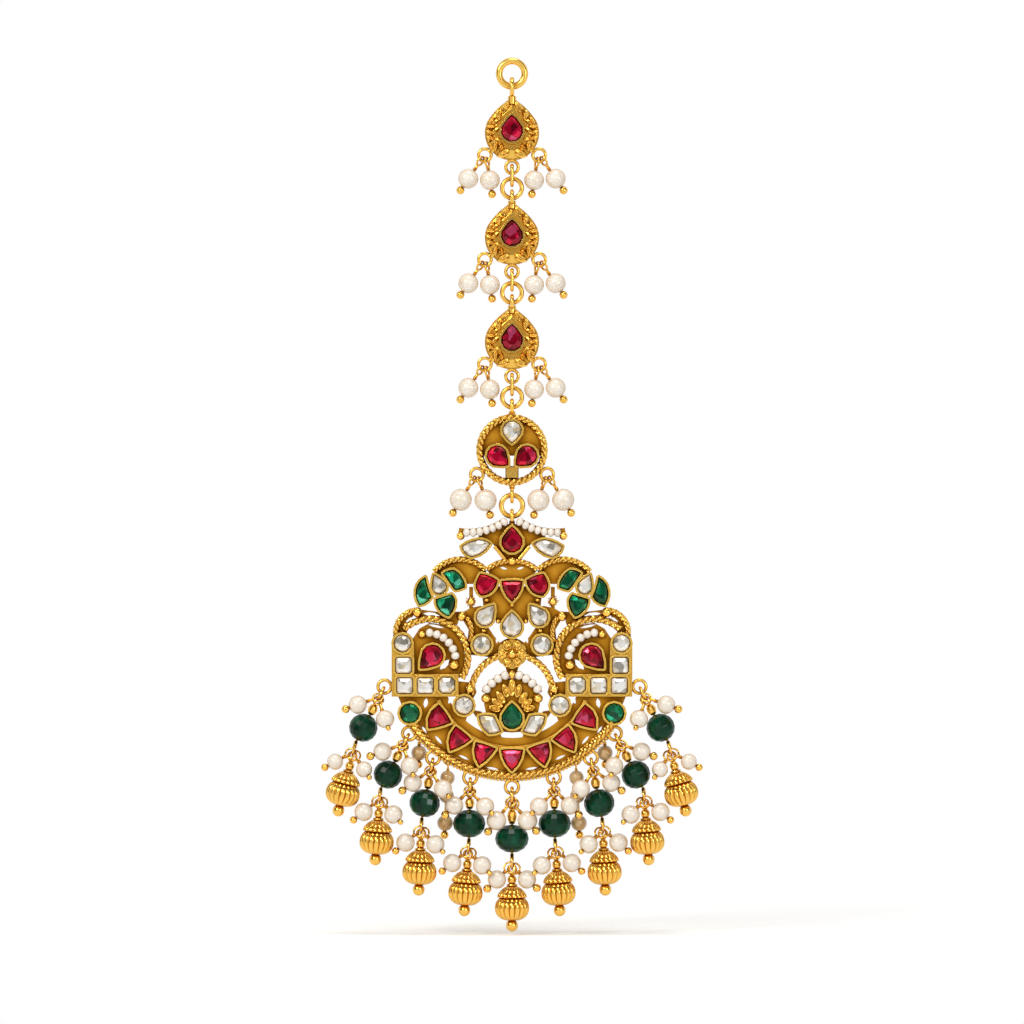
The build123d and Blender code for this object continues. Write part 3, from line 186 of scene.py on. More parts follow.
# softboxes: where each stands, its size in metres and its power in watts
SOFTBOXES = [
    {"name": "key", "at": (-0.55, -0.75, 0.45), "size": 0.26, "power": 4.0, "tint": "#FFF9F0"},
    {"name": "fill", "at": (0.65, -0.80, 0.10), "size": 0.22, "power": 1.6, "tint": "#F8FAFF"},
    {"name": "top", "at": (0.05, -0.20, 0.75), "size": 0.35, "power": 2.6, "tint": "#FFFFFF"},
    {"name": "low", "at": (-0.10, -0.70, -0.45), "size": 0.20, "power": 0.5, "tint": "#FFF1DC"},
]


LIT_POINT = Vector((0, 0, -0.085))       # what the softboxes are turned to


def light_up():
    for row in SOFTBOXES:
        lamp = bpy.data.lights.new(row["name"], "AREA")
        lamp.shape = "SQUARE"
        lamp.size = row["size"]
        lamp.energy = row["power"]
        lamp.color = linear(row["tint"])[:3]
        box = bpy.data.objects.new(row["name"], lamp)
        box.location = row["at"]
        box.rotation_euler = (LIT_POINT - Vector(row["at"])).to_track_quat("-Z", "Y").to_euler()
        bpy.context.scene.collection.objects.link(box)


studio_world(light=0.40, mirrored=1.35)
paper_floor()
light_up()


# ------------------------------------------------------------ finishes
def new_finish(name):
    """An empty material, its tree and the coordinates fixed to the piece."""
    finish = bpy.data.materials.new(name)
    finish.use_nodes = True
    finish.node_tree.nodes.clear()
    place = add(finish.node_tree, "TexCoord").outputs["Object"]
    return finish, finish.node_tree, place


def per_metre(size_mm):
    """The scale of a pattern whose features are so many millimetres across."""
    return 1 / (size_mm * MM)


# depths of the pierced plates in millimetres, where the front faces look to the negative side
FLOOR_LEVEL = (-0.28, -0.06)     # the floor's painted shade and oxide begin, and are full
BACK_LEVEL = (0.76, 0.72)        # the painted shade and oxide stop, just before the back
RIM_LEVEL = (-0.86, -0.97)       # the rims begin to be rubbed, and are quite pale
# painted shade and oxide on the floors, darkest where ambient occlusion finds the deepest hollow
FLOOR_SHADE_AND_OXIDE = [(0.22, "#452302"), (0.46, "#78490A"), (0.70, "#A56E16"), (0.92, "#C38E2C")]
FLOOR_ROUGHNESS = 0.50
WORN_GOLD = "#FCCB5E"


def between(tree, height, levels):
    """0 at the first level, 1 at the second and beyond."""
    span = {"Value": height, "From Min": levels[0] * MM, "From Max": levels[1] * MM}
    return add(tree, "MapRange", span).outputs["Result"]


def blended(tree, factor, first, second):
    return add(tree, "Mix", {0: factor, 6: first, 7: second}, data_type="RGBA").outputs[2]


def shaded_oxide_floor(tree, place, openness, colour, dull):
    """Paints shade and brown oxide on the floor between the bezels, and rubs the highest rims pale."""
    height = add(tree, "SeparateXYZ", {"Vector": place}).outputs["Y"]
    limits = {0: between(tree, height, FLOOR_LEVEL), 1: between(tree, height, BACK_LEVEL)}
    floor = add(tree, "Math", limits, operation="MULTIPLY").outputs[0]
    worn = blended(tree, between(tree, height, RIM_LEVEL), colour, linear(WORN_GOLD))
    shaded_and_stained = blended(tree, floor, worn, ramp(tree, openness, FLOOR_SHADE_AND_OXIDE))
    rough = add(tree, "MapRange", {"Value": floor, "To Min": dull, "To Max": FLOOR_ROUGHNESS})
    return shaded_and_stained, rough.outputs["Result"]


GRAIN_MM = 0.22          # size of the plating's grain
GRAIN_DEPTH = 0.03
SOFT_EDGE = 0.09         # how far a cast edge is worn round


def plated_gold(name, stops, roughness, soot, hollow_mm=1.1, grain=0.25, pierced=False):
    """Gold-plated brass with painted shade and oxide in its hollows: how dark these are, how rough its open
    faces and its hollows.
    """
    finish, tree, place = new_finish(name)
    # ambient occlusion paints shade, together with oxide, into the colour of the hollows
    hollow_shade = add(tree, "AmbientOcclusion", {"Distance": hollow_mm * MM}, samples=6)
    cloud = add(tree, "TexNoise", {"Vector": place, "Scale": per_metre(1.3), "Detail": 3.0})
    stain = add(tree, "MapRange", {"Value": cloud.outputs["Fac"], "To Min": -soot, "To Max": soot})
    seen = {0: hollow_shade.outputs["AO"], 1: stain.outputs["Result"]}
    openness = add(tree, "Math", seen, operation="ADD", use_clamp=True).outputs[0]
    colour = ramp(tree, openness, stops)
    dull = add(tree, "MapRange", {
        "Value": openness, "From Min": 0.25, "From Max": 0.9,
        "To Min": roughness[1], "To Max": roughness[0],
    }).outputs["Result"]
    if pierced:
        colour, dull = shaded_oxide_floor(tree, place, openness, colour, dull)
    soft_edge = add(tree, "Bevel", {"Radius": SOFT_EDGE * MM}, samples=4)
    skin = add(tree, "TexNoise", {"Vector": place, "Scale": per_metre(GRAIN_MM), "Detail": 2.0})
    bump = add(tree, "Bump", {
        "Height": skin.outputs["Fac"], "Strength": grain, "Distance": GRAIN_DEPTH * MM,
        "Normal": soft_edge.outputs["Normal"],
    })
    metal = add(tree, "BsdfPrincipled", {
        "Base Color": colour, "Metallic": 1.0, "Roughness": dull, "Normal": bump.outputs["Normal"],
    })
    add(tree, "OutputMaterial", {"Surface": metal.outputs[0]})
    return finish


# Matt antique gold plate on cast brass: bright on open faces, painted shade and brown oxide in the hollows.
CAST_SHADE_AND_OXIDE = [
    (0.12, "#4C2604"), (0.34, "#93590C"), (0.56, "#CC8E28"), (0.80, "#EAB348"), (1.0, "#F4C662"),
]
ANTIQUE_GOLD = plated_gold("antique gold plated brass", CAST_SHADE_AND_OXIDE, roughness=(0.22, 0.50), soot=0.08)
# The same plate on the pierced frames, whose floors get painted shade and oxide.
PIERCED_GOLD = plated_gold(
    "antique gold plated openwork", CAST_SHADE_AND_OXIDE, roughness=(0.24, 0.50), soot=0.10,
    hollow_mm=1.5, pierced=True,
)
# Polished gold plate on drawn wire and stamped drops: mirror highlights, a little painted shade and oxide
# in the folds.
DRAWN_SHADE_AND_OXIDE = [
    (0.08, "#5A2E05"), (0.30, "#9C600E"), (0.55, "#CE902A"), (0.85, "#E6AE46"), (1.0, "#F0BE5C"),
]
POLISHED_GOLD = plated_gold(
    "polished gold plated brass", DRAWN_SHADE_AND_OXIDE, roughness=(0.14, 0.40), soot=0.04,
    hollow_mm=0.8, grain=0.10,
)


def foiled_glass(name, tones, cut_mm, roughness, foil, ior, edge, coat):
    """Faceted glass over foil. Patches of painted light and shade stand for its back facets showing through
    the table, and painted shade in the edge colour lies next to the bezel.
    """
    finish, tree, place = new_finish(name)
    # the cells paint patches of light and shade, with painted highlights, in place of real facets
    cuts = add(tree, "TexVoronoi", {"Vector": place, "Scale": per_metre(cut_mm)}, feature="F1")
    patch = add(tree, "SeparateColor", {"Color": cuts.outputs["Color"]})
    painted_facet_light = ramp(tree, patch.outputs["Red"], tones)
    # ambient occlusion paints shade next to the bezel wall, in the edge colour
    bezel_shade = add(tree, "AmbientOcclusion", {"Distance": 0.5 * MM}, samples=6)
    painted_rim = add(tree, "MapRange", {"Value": bezel_shade.outputs["AO"], "From Min": 0.35, "From Max": 0.75})
    glass = add(tree, "BsdfPrincipled", {
        "Base Color": blended(tree, painted_rim.outputs["Result"], linear(edge), painted_facet_light),
        "Metallic": foil, "Roughness": roughness, "IOR": ior,
        "Specular IOR Level": 0.25, "Coat Weight": coat, "Coat Roughness": 0.02, "Coat IOR": ior,
    })
    add(tree, "OutputMaterial", {"Surface": glass.outputs[0]})
    return finish


# Red paste stone over red foil: deep crimson with painted light and shade for its back facets, a pale
# painted highlight, and painted shade at the bezel.
RUBY_TONES_AND_FACET_LIGHT = [
    (0.0, "#5C0014"), (0.30, "#9A0022"), (0.55, "#C00030"), (0.80, "#E40A44"), (1.0, "#D2507C"),
]
RUBY_PASTE = foiled_glass(
    "foiled ruby paste", RUBY_TONES_AND_FACET_LIGHT,
    cut_mm=1.3, roughness=0.20, foil=0.70, ior=1.56, edge="#5A0014", coat=0.35,
)
# Green paste stone over foil: bottle green with painted light and shade for its facets, a few painted mint
# highlights, and painted shade at the bezel.
EMERALD_TONES_AND_FACET_LIGHT = [
    (0.0, "#003823"), (0.35, "#00603C"), (0.62, "#058A5C"), (0.86, "#1CC092"), (1.0, "#70DABC"),
]
EMERALD_PASTE = foiled_glass(
    "foiled emerald paste", EMERALD_TONES_AND_FACET_LIGHT,
    cut_mm=1.3, roughness=0.20, foil=0.65, ior=1.56, edge="#00301E", coat=0.35,
)
# Clear paste stone over silver foil: white, grey and straw-coloured patches of painted light and shade, and
# a painted tan edge by the bezel.
CLEAR_TONES_AND_FACET_LIGHT = [
    (0.0, "#8E8A80"), (0.22, "#C9C4B8"), (0.45, "#F3F0E8"), (0.85, "#FFFFFF"), (1.0, "#DCC79A"),
]
CLEAR_PASTE = foiled_glass(
    "foiled clear paste", CLEAR_TONES_AND_FACET_LIGHT,
    cut_mm=0.95, roughness=0.16, foil=0.45, ior=1.52, edge="#C9A264", coat=0.5,
)


def pressed_glass(name, tones, ior):
    """A solid glass bead with cut faces: nearly black green, a little uneven in its depth."""
    finish, tree, place = new_finish(name)
    streaks = add(tree, "TexNoise", {"Vector": place, "Scale": per_metre(2.5), "Detail": 1.0})
    glass = add(tree, "BsdfPrincipled", {
        "Base Color": ramp(tree, streaks.outputs["Fac"], tones), "Roughness": 0.08, "IOR": ior,
        "Specular IOR Level": 0.16,
    })
    add(tree, "OutputMaterial", {"Surface": glass.outputs[0]})
    return finish


# Fire-polished dark green glass: glossy flat cuts with the room's light in a few of them.
BEAD_TONES = [(0.30, "#002718"), (0.52, "#003B24"), (0.75, "#05563A")]
BEAD_GLASS = pressed_glass("dark green pressed glass", BEAD_TONES, ior=1.55)


def pearl_coat(name, tones, painted_rim, roughness):
    """Glass pearl: a nacre lacquer with a painted golden reflection where it turns away, over a faint
    orange-peel skin.
    """
    finish, tree, place = new_finish(name)
    cloud = add(tree, "TexNoise", {"Vector": place, "Scale": per_metre(1.6), "Detail": 2.0})
    body = ramp(tree, cloud.outputs["Fac"], tones)
    # the facing weight paints a warm reflection onto the edge that turns away
    aside = add(tree, "LayerWeight", {"Blend": 0.42}).outputs["Facing"]
    edge_reflection = add(tree, "MapRange", {"Value": aside, "From Min": 0.22, "From Max": 0.85, "To Max": 0.95})
    peel = add(tree, "TexNoise", {"Vector": place, "Scale": per_metre(0.25), "Detail": 1.0})
    skin = add(tree, "Bump", {"Height": peel.outputs["Fac"], "Strength": 0.02, "Distance": 0.02 * MM})
    nacre = add(tree, "BsdfPrincipled", {
        "Base Color": blended(tree, edge_reflection.outputs["Result"], body, linear(painted_rim)),
        "Roughness": roughness, "IOR": 1.55, "Coat Weight": 1.0, "Coat Roughness": 0.16,
        "Normal": skin.outputs["Normal"],
    })
    add(tree, "OutputMaterial", {"Surface": nacre.outputs[0]})
    return finish


# Cream glass pearls: satin lustre, with a painted golden reflection where they turn away.
CREAM_TONES = [(0.3, "#EFE3D0"), (0.55, "#F5ECDF"), (0.8, "#FAF4EA")]
CREAM_PEARL = pearl_coat("cream glass pearl", CREAM_TONES, "#D9A860", 0.32)
# The pearls behind the rim are painted in shade: a tan, darker copy of the cream pearl, with a painted
# reflection at their edges.
SHADED_PEARL_TONES = [(0.3, "#CDA060"), (0.55, "#DCBB80"), (0.8, "#E8CE9C")]
SHADED_PEARL = pearl_coat("glass pearl painted in shade", SHADED_PEARL_TONES, "#AE7C34", 0.34)
# Small seed pearls on wire: paler and less even, with a painted golden reflection where they turn away.
SEED_TONES = [(0.3, "#F0E8DC"), (0.55, "#F7F1E8"), (0.8, "#FBF7F0")]
SEED_PEARL = pearl_coat("white seed pearl", SEED_TONES, "#D8B478", 0.36)

SLOT_FINISHES = {
    "antique_gold": ANTIQUE_GOLD, "polished_gold": POLISHED_GOLD, "green_glass": BEAD_GLASS,
    "ruby_stone": RUBY_PASTE, "emerald_stone": EMERALD_PASTE, "foiled_crystal": CLEAR_PASTE,
    "pearl": CREAM_PEARL,
}
NODE_FINISHES = {"back_pearls": SHADED_PEARL, "pendant_frame": PIERCED_GOLD, "roundel_frame": PIERCED_GOLD}
for row in frame["record"]["subparts"]:
    finish = NODE_FINISHES.get(row["node"], SLOT_FINISHES[row["material_slot"]])
    for slot in nodes[row["node"]].material_slots:
        slot.material = finish


# ------------------------------------------------------------ placing and shaping
# Shapes on the face are drawn as x and z about the pendant's hub. Their third axis is the depth
# towards the viewer.
FACE = Matrix.Scale(MM, 4) @ Matrix.Translation((0, 0, HUB_Z)) @ Matrix.Rotation(radians(90), 4, "X")
UPRIGHT = Matrix.Scale(MM, 4)


def spot(x, z, depth=0.0, turn=0.0, size=(1, 1, 1)):
    """The place of a small form on the face: where it lies, how it is turned and its measures."""
    turned = Matrix.Rotation(radians(turn), 4, "Z")
    return Matrix.Translation((x, z, depth)) @ turned @ Matrix.Diagonal((*size, 1))


def joined(target, part):
    """Takes all of one shape into another."""
    passing = bpy.data.meshes.new("passing")
    part.to_mesh(passing)
    target.from_mesh(passing)
    bpy.data.meshes.remove(passing)
    part.free()


def finished(name, shape, finish, body, place=FACE, crease=40):
    """Sets a shape in its place and makes it a piece that rides on a body."""
    shape.transform(place)
    bmesh.ops.recalc_face_normals(shape, faces=shape.faces)
    mesh = bpy.data.meshes.new(name)
    shape.to_mesh(mesh)
    shape.free()
    mesh.materials.append(finish)
    if crease:
        mesh.shade_smooth()
        mesh.set_sharp_from_angle(angle=radians(crease))
    piece = bpy.data.objects.new(name, mesh)
    bpy.context.scene.collection.objects.link(piece)
    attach(piece, body)
    return piece


def other_side(row):
    """The mirror image of a row that describes something on the left."""
    mirrored = dict(row, x=-row["x"])
    if "start" in row:
        mirrored.update(start=180 - row["end"], end=180 - row["start"])
    if "turn" in row:
        mirrored["turn"] = 180 - row["turn"]
    return mirrored


def two_sides(rows):
    return rows + [other_side(row) for row in rows]


def grain(shape, x, z, depth, radius, size=(1, 1, 1), turn=0.0, around=8, down=6):
    """A small solder ball, or an oval one."""
    place = spot(x, z, depth, turn, size)
    bmesh.ops.create_uvsphere(shape, u_segments=around, v_segments=down, radius=radius, matrix=place)


def wire_loop(shape, place, wire, around=16, sides=6):
    """A closed loop of wire, one across before the place gives it its measures."""
    loop = bmesh.new()
    stand = Matrix.Translation((0.5 - wire, 0, 0)) @ Matrix.Rotation(radians(90), 4, "X")
    bmesh.ops.create_circle(loop, segments=sides, radius=wire, matrix=stand)
    section = loop.verts[:] + loop.edges[:]
    bmesh.ops.spin(
        loop, geom=section, cent=(0, 0, 0), axis=(0, 0, 1), angle=2 * pi, steps=around, use_merge=True,
    )
    loop.transform(place)
    joined(shape, loop)


# ------------------------------------------------------------ rope borders
STRANDS = 3
STRAND_SHARE = 0.56      # a strand's half thickness, as a share of its rope's
STRAND_SIDES = 6


def twisted_cord(length, half, strands, lay, steps_per_lay=14):
    """A straight cord of twisted strands that stands on the origin."""
    cord = bmesh.new()
    strand_r = half * STRAND_SHARE
    steps = ceil(length / lay * steps_per_lay)
    for number in range(strands):
        turned = Matrix.Rotation(2 * pi * number / strands, 4, "Z")
        place = turned @ Matrix.Translation((half - strand_r, 0, 0))
        made = bmesh.ops.create_circle(cord, segments=STRAND_SIDES, radius=strand_r, matrix=place)
        section = made["verts"] + list({edge for vert in made["verts"] for edge in vert.link_edges})
        bmesh.ops.spin(
            cord, geom=section, cent=(0, 0, 0), axis=(0, 0, 1), dvec=(0, 0, length / steps),
            angle=2 * pi * length / lay, steps=steps,
        )
    bmesh.ops.holes_fill(cord, edges=[edge for edge in cord.edges if edge.is_boundary])
    return cord


def bent_round(cord, rope, depth):
    """Bends a standing cord along a rope's arc on the face."""
    for vert in cord.verts:
        angle = radians(rope["start"]) + vert.co.z / rope["radius"]
        reach = rope["radius"] + vert.co.x
        vert.co = (rope["x"] + reach * cos(angle), rope["z"] + reach * sin(angle), depth + vert.co.y)
    return cord


def arc_length(rope):
    return rope["radius"] * radians(rope["end"] - rope["start"])


# borders of the pendant's left half, then those across the middle, each an arc about a centre
SIDE_ROPES = [
    {"x": -14.37, "z": -0.35, "radius": 6.65, "start": -34, "end": 133, "half": 0.70},
    {"x": -0.33, "z": 10.16, "radius": 6.26, "start": 87, "end": 130, "half": 0.52},
    {"x": -9.00, "z": 10.69, "radius": 6.02, "start": 44, "end": 140, "half": 0.58},
    {"x": -16.45, "z": 3.96, "radius": 3.87, "start": 97, "end": 185, "half": 0.56},
    {"x": -11.39, "z": 3.99, "radius": 4.36, "start": -23, "end": 37, "half": 0.48},
]
MIDDLE_ROPES = [
    {"x": 0, "z": -7.0, "radius": 7.2, "start": 6, "end": 174, "half": 0.66},
    {"x": 0, "z": 0, "radius": 21.12, "start": 209.5, "end": 330.5, "half": 0.68},
]
ROPE_DEPTH = 0.36
STRAND_LAY = 5.0         # how many half thicknesses of the rope one turn of a strand takes up


def rope_borders():
    shape = bmesh.new()
    for rope in two_sides(SIDE_ROPES) + MIDDLE_ROPES:
        cord = twisted_cord(arc_length(rope), rope["half"], STRANDS, rope["half"] * STRAND_LAY)
        joined(shape, bent_round(cord, rope, ROPE_DEPTH))
    finished("rope_borders", shape, ANTIQUE_GOLD, "pendant")


# the beaded row under the rim's rope, and the smooth wire above it
RIM_BEADS = {"radius": 21.93, "start": 212, "end": 328, "pitch": 0.62, "grain": 0.33, "depth": 0.12}
RIM_WIRE = {"x": 0, "z": 0, "radius": 20.52, "start": 210, "end": 330, "half": 0.20, "depth": 0.30}
WIRE_LAY = 8.0           # the plain wire winds round once over this length: a little uneven


def rim_trim():
    shape = bmesh.new()
    row = RIM_BEADS
    count = round(row["radius"] * radians(row["end"] - row["start"]) / row["pitch"])
    for number in range(count + 1):
        angle = radians(row["start"] + (row["end"] - row["start"]) * number / count)
        x, z = row["radius"] * cos(angle), row["radius"] * sin(angle)
        grain(shape, x, z, row["depth"], row["grain"], around=6, down=4)
    wire = twisted_cord(arc_length(RIM_WIRE), RIM_WIRE["half"], 1, WIRE_LAY, steps_per_lay=12)
    joined(shape, bent_round(wire, RIM_WIRE, RIM_WIRE["depth"]))
    finished("rim_beading", shape, ANTIQUE_GOLD, "pendant")


ROUNDEL_ROPE = {
    "x": 0, "z": ROUNDEL_Z - HUB_Z, "radius": ROUNDEL_ROPE_R, "start": 0, "end": 360,
    "half": 0.68, "depth": 0.30,
}
ROUNDEL_LAYS = 11        # whole turns of a strand, so that the ends meet


def roundel_border():
    shape = bmesh.new()
    lay = arc_length(ROUNDEL_ROPE) / ROUNDEL_LAYS
    cord = twisted_cord(arc_length(ROUNDEL_ROPE), ROUNDEL_ROPE["half"], STRANDS, lay)
    joined(shape, bent_round(cord, ROUNDEL_ROPE, ROUNDEL_ROPE["depth"]))
    finished("roundel_rope", shape, ANTIQUE_GOLD, "chain")


rope_borders()
rim_trim()
roundel_border()


# ------------------------------------------------------------ seed pearls
# Rows of seed pearls on their rails, left half: the arc that they follow, how many there are, and
# each pearl's half measures along the row and across it.
SEED_ROWS = [
    {"x": -7.48, "z": 32.31, "radius": 10.9, "start": 267.5, "end": 304, "count": 7,
     "along": 0.63, "across": 0.80},
    {"x": -14.88, "z": -1.15, "radius": 5.06, "start": 11.5, "end": 84.5, "count": 6,
     "along": 0.72, "across": 0.78},
    {"x": 1.10, "z": -10.09, "radius": 6.92, "start": 109.7, "end": 143.5, "count": 4,
     "along": 0.72, "across": 0.82},
]
SEED_DEPTH = 0.78
SEED_HALF = 0.72         # half a seed pearl's thickness from back to front


def seed_pearls():
    shape = bmesh.new()
    for row in two_sides(SEED_ROWS):
        for number in range(row["count"]):
            angle = row["start"] + (row["end"] - row["start"]) * number / (row["count"] - 1)
            x = row["x"] + row["radius"] * cos(radians(angle))
            z = row["z"] + row["radius"] * sin(radians(angle))
            measures = (row["across"], row["along"], SEED_HALF)
            grain(shape, x, z, SEED_DEPTH, 1.0, measures, turn=angle, around=14, down=10)
    finished("seed_pearls", shape, SEED_PEARL, "pendant")


seed_pearls()


# ------------------------------------------------------------ fan, flower and small ornament
# Hollow petals of the fan over the lotus stone: the tip of each, left half, and the point that
# they spring from.
FAN_ROOT = (0, -10.4)
FAN_TIPS = [
    {"x": -1.44, "z": -5.05, "long": 2.50, "wide": 1.20},
    {"x": -2.60, "z": -6.40, "long": 2.50, "wide": 1.22},
    {"x": -3.52, "z": -7.70, "long": 2.40, "wide": 1.20},
    {"x": -4.05, "z": -9.05, "long": 2.20, "wide": 1.15},
]
FAN_MIDDLE = {"x": 0, "z": -4.15, "long": 3.1, "wide": 1.35}
FAN_DEPTH = 0.42
FAN_STALK = {"x": 0, "z": -3.41, "depth": 0.55, "size": (0.52, 0.86, 0.5)}
PETAL_WIRE = 0.10        # half the raised outline's thickness, as a share of the petal
PETAL_RISE = 1.9
# the leaf inside a petal's outline and the rib on it: half measures as shares of the petal's
PETAL_INSIDE = [
    {"depth": -0.12, "long": 0.40, "wide": 0.40, "high": 0.22},
    {"depth": 0.02, "long": 0.26, "wide": 0.13, "high": 0.20},
]


def hollow_petal(shape, centre, turn, long, wide, depth):
    """A petal drawn by its raised outline, with a low leaf inside it. It points along its turn."""
    wire_loop(shape, spot(*centre, depth, turn, (long, wide, PETAL_RISE)), PETAL_WIRE)
    for leaf in PETAL_INSIDE:
        measures = (long * leaf["long"], wide * leaf["wide"], leaf["high"])
        grain(shape, *centre, depth + leaf["depth"], 1.0, measures, turn=turn)


def petal_fan():
    shape = bmesh.new()
    for tip in two_sides(FAN_TIPS) + [FAN_MIDDLE]:
        heading = Vector((tip["x"] - FAN_ROOT[0], tip["z"] - FAN_ROOT[1]))
        middle = Vector((tip["x"], tip["z"])) - heading.normalized() * tip["long"] / 2
        turn = degrees(heading.angle_signed(Vector((1, 0))))
        hollow_petal(shape, middle, turn, tip["long"], tip["wide"], FAN_DEPTH)
    stalk = FAN_STALK
    grain(shape, stalk["x"], stalk["z"], stalk["depth"], 1.0, stalk["size"], around=12, down=8)
    finished("petal_fan", shape, ANTIQUE_GOLD, "pendant")


FLOWER = (0, 0.17)
PETALS = {"count": 6, "reach": 1.72, "long": 1.75, "wide": 1.65, "depth": 0.72}
FLOWER_BALL = {"depth": 0.85, "radius": 0.78}


def flower():
    shape = bmesh.new()
    for number in range(PETALS["count"]):
        turn = 360 / PETALS["count"] * number
        across, up = PETALS["reach"] * cos(radians(turn)), PETALS["reach"] * sin(radians(turn))
        centre = (FLOWER[0] + across, FLOWER[1] + up)
        hollow_petal(shape, centre, turn, PETALS["long"], PETALS["wide"], PETALS["depth"])
    grain(shape, *FLOWER, FLOWER_BALL["depth"], FLOWER_BALL["radius"], around=18, down=12)
    finished("flower", shape, ANTIQUE_GOLD, "pendant")


# heaps of fine granules, left half: centre, reach across and how many
ROSETTES = [{"x": -7.17, "z": 9.33, "reach": 0.95, "count": 26}]
GRANULE_R = 0.17
GRANULE_DEPTH = 0.55     # at a heap's middle; it falls by a share of the way out
GRANULE_FALL = 0.25
GOLDEN_ANGLE = 2.39996   # in radians; it spreads a heap's granules evenly
# leaves that finish the ends of the arch, left half
ARCH_ENDS = [
    {"x": -7.45, "z": -5.05, "long": 0.95, "wide": 0.42, "turn": 70},
    {"x": -7.85, "z": -5.75, "long": 0.90, "wide": 0.40, "turn": 105},
    {"x": -7.00, "z": -5.85, "long": 0.95, "wide": 0.42, "turn": 60},
    {"x": -7.65, "z": -6.60, "long": 0.85, "wide": 0.40, "turn": 95},
    {"x": -6.85, "z": -6.75, "long": 0.80, "wide": 0.38, "turn": 75},
    {"x": -7.30, "z": -7.30, "long": 0.60, "wide": 0.34, "turn": 90},
]
ARCH_LEAF_DEPTH = 0.62
ARCH_LEAF_HALF = 0.30
# the smooth bar beside the crown stone on the left: its two ends about the hub
STRUT = {"from": (-3.05, 19.0), "to": (-1.20, 16.75), "radius": 0.36, "depth": 0.28}


def strut(shape, hand):
    """The bar beside the crown stone, on the left (1) or the right (-1)."""
    start, end = (
        Vector((STRUT[key][0] * hand, STRUT[key][1], STRUT["depth"])) for key in ("from", "to")
    )
    turn = (end - start).to_track_quat("Z", "Y").to_matrix().to_4x4()
    bmesh.ops.create_cone(
        shape, cap_ends=True, segments=12, radius1=STRUT["radius"], radius2=STRUT["radius"],
        depth=(end - start).length, matrix=Matrix.Translation((start + end) / 2) @ turn,
    )


def granule_work():
    chance = random.Random(7)
    shape = bmesh.new()
    for heap in two_sides(ROSETTES):
        for number in range(heap["count"]):
            angle = number * GOLDEN_ANGLE
            reach = heap["reach"] * (number / heap["count"]) ** 0.5 * chance.uniform(0.85, 1.1)
            x, z = heap["x"] + reach * cos(angle), heap["z"] + reach * sin(angle)
            grain(shape, x, z, GRANULE_DEPTH - reach * GRANULE_FALL, GRANULE_R, around=6, down=4)
    for leaf in two_sides(ARCH_ENDS):
        measures = (leaf["long"] / 2, leaf["wide"] / 2, ARCH_LEAF_HALF)
        grain(shape, leaf["x"], leaf["z"], ARCH_LEAF_DEPTH, 1.0, measures, turn=leaf["turn"])
    for hand in (1, -1):
        strut(shape, hand)
    finished("granule_work", shape, ANTIQUE_GOLD, "pendant")


petal_fan()
flower()
granule_work()


# The chased leaves of a motif's left half, about the motif's own middle: place, the way that the
# tip points, size, and the depth of the crest.
CHASED_LEAVES = [
    {"x": -1.17, "z": 4.75, "turn": 44, "long": 2.10, "wide": 1.00, "depth": 0.78},
    {"x": -2.35, "z": 3.05, "turn": 102, "long": 2.05, "wide": 1.00, "depth": 0.92},
    {"x": -3.52, "z": 2.15, "turn": 60, "long": 1.70, "wide": 0.74, "depth": 0.82},
    {"x": -3.68, "z": 1.15, "turn": 178, "long": 1.85, "wide": 0.78, "depth": 0.88},
    {"x": -3.76, "z": 0.12, "turn": 155, "long": 1.85, "wide": 0.80, "depth": 0.86},
    {"x": -3.72, "z": -0.85, "turn": 155, "long": 1.85, "wide": 0.78, "depth": 0.86},
    {"x": -2.85, "z": -2.15, "turn": 268, "long": 2.15, "wide": 0.82, "depth": 0.98},
    {"x": -3.38, "z": -2.55, "turn": 230, "long": 1.30, "wide": 0.62, "depth": 0.72},
    {"x": -1.37, "z": -3.31, "turn": 25, "long": 2.25, "wide": 1.00, "depth": 0.98},
    {"x": -1.93, "z": -2.40, "turn": 40, "long": 1.15, "wide": 0.56, "depth": 1.10},
]
LEAF_HALF = 0.55         # half a chased leaf's thickness, most of it sunk into the motif's dome
LEAF_SUNK = 0.25
LEAF_POINT = 2.2         # how late along its length a leaf tapers
LEAF_WAIST = 0.45        # the share of the width that goes with the taper
LEAF_GROOVE = {"deep": 0.30, "half": 0.34}
MOTIFS = 3


def chased_leaf(shape, row, height):
    """A pointed leaf of two lobes with a groove between them."""
    leaf = bmesh.new()
    bmesh.ops.create_uvsphere(leaf, u_segments=16, v_segments=10, radius=1.0)
    bmesh.ops.rotate(leaf, verts=leaf.verts, cent=(0, 0, 0), matrix=Matrix.Rotation(radians(90), 3, "Y"))
    for vert in leaf.verts:
        taper = (1 - min(abs(vert.co.x), 1) ** LEAF_POINT) ** 0.5
        groove = LEAF_GROOVE["deep"] * max(0, 1 - abs(vert.co.y) / LEAF_GROOVE["half"]) * taper
        vert.co.y *= 1 - LEAF_WAIST + LEAF_WAIST * taper
        vert.co.z -= groove if vert.co.z > 0 else 0
    size = (row["long"] / 2, row["wide"] / 2, LEAF_HALF)
    depth = row["depth"] - LEAF_SUNK
    leaf.transform(spot(row["x"], row["z"] + height, depth, row["turn"], size))
    joined(shape, leaf)


def leaf_chasing():
    for number in range(MOTIFS):
        shape = bmesh.new()
        height = MOTIF_Z - MOTIF_PITCH * number - HUB_Z
        for row in two_sides(CHASED_LEAVES):
            chased_leaf(shape, row, height)
        finished(f"leaf_chasing_{number + 1}", shape, ANTIQUE_GOLD, "chain")


leaf_chasing()


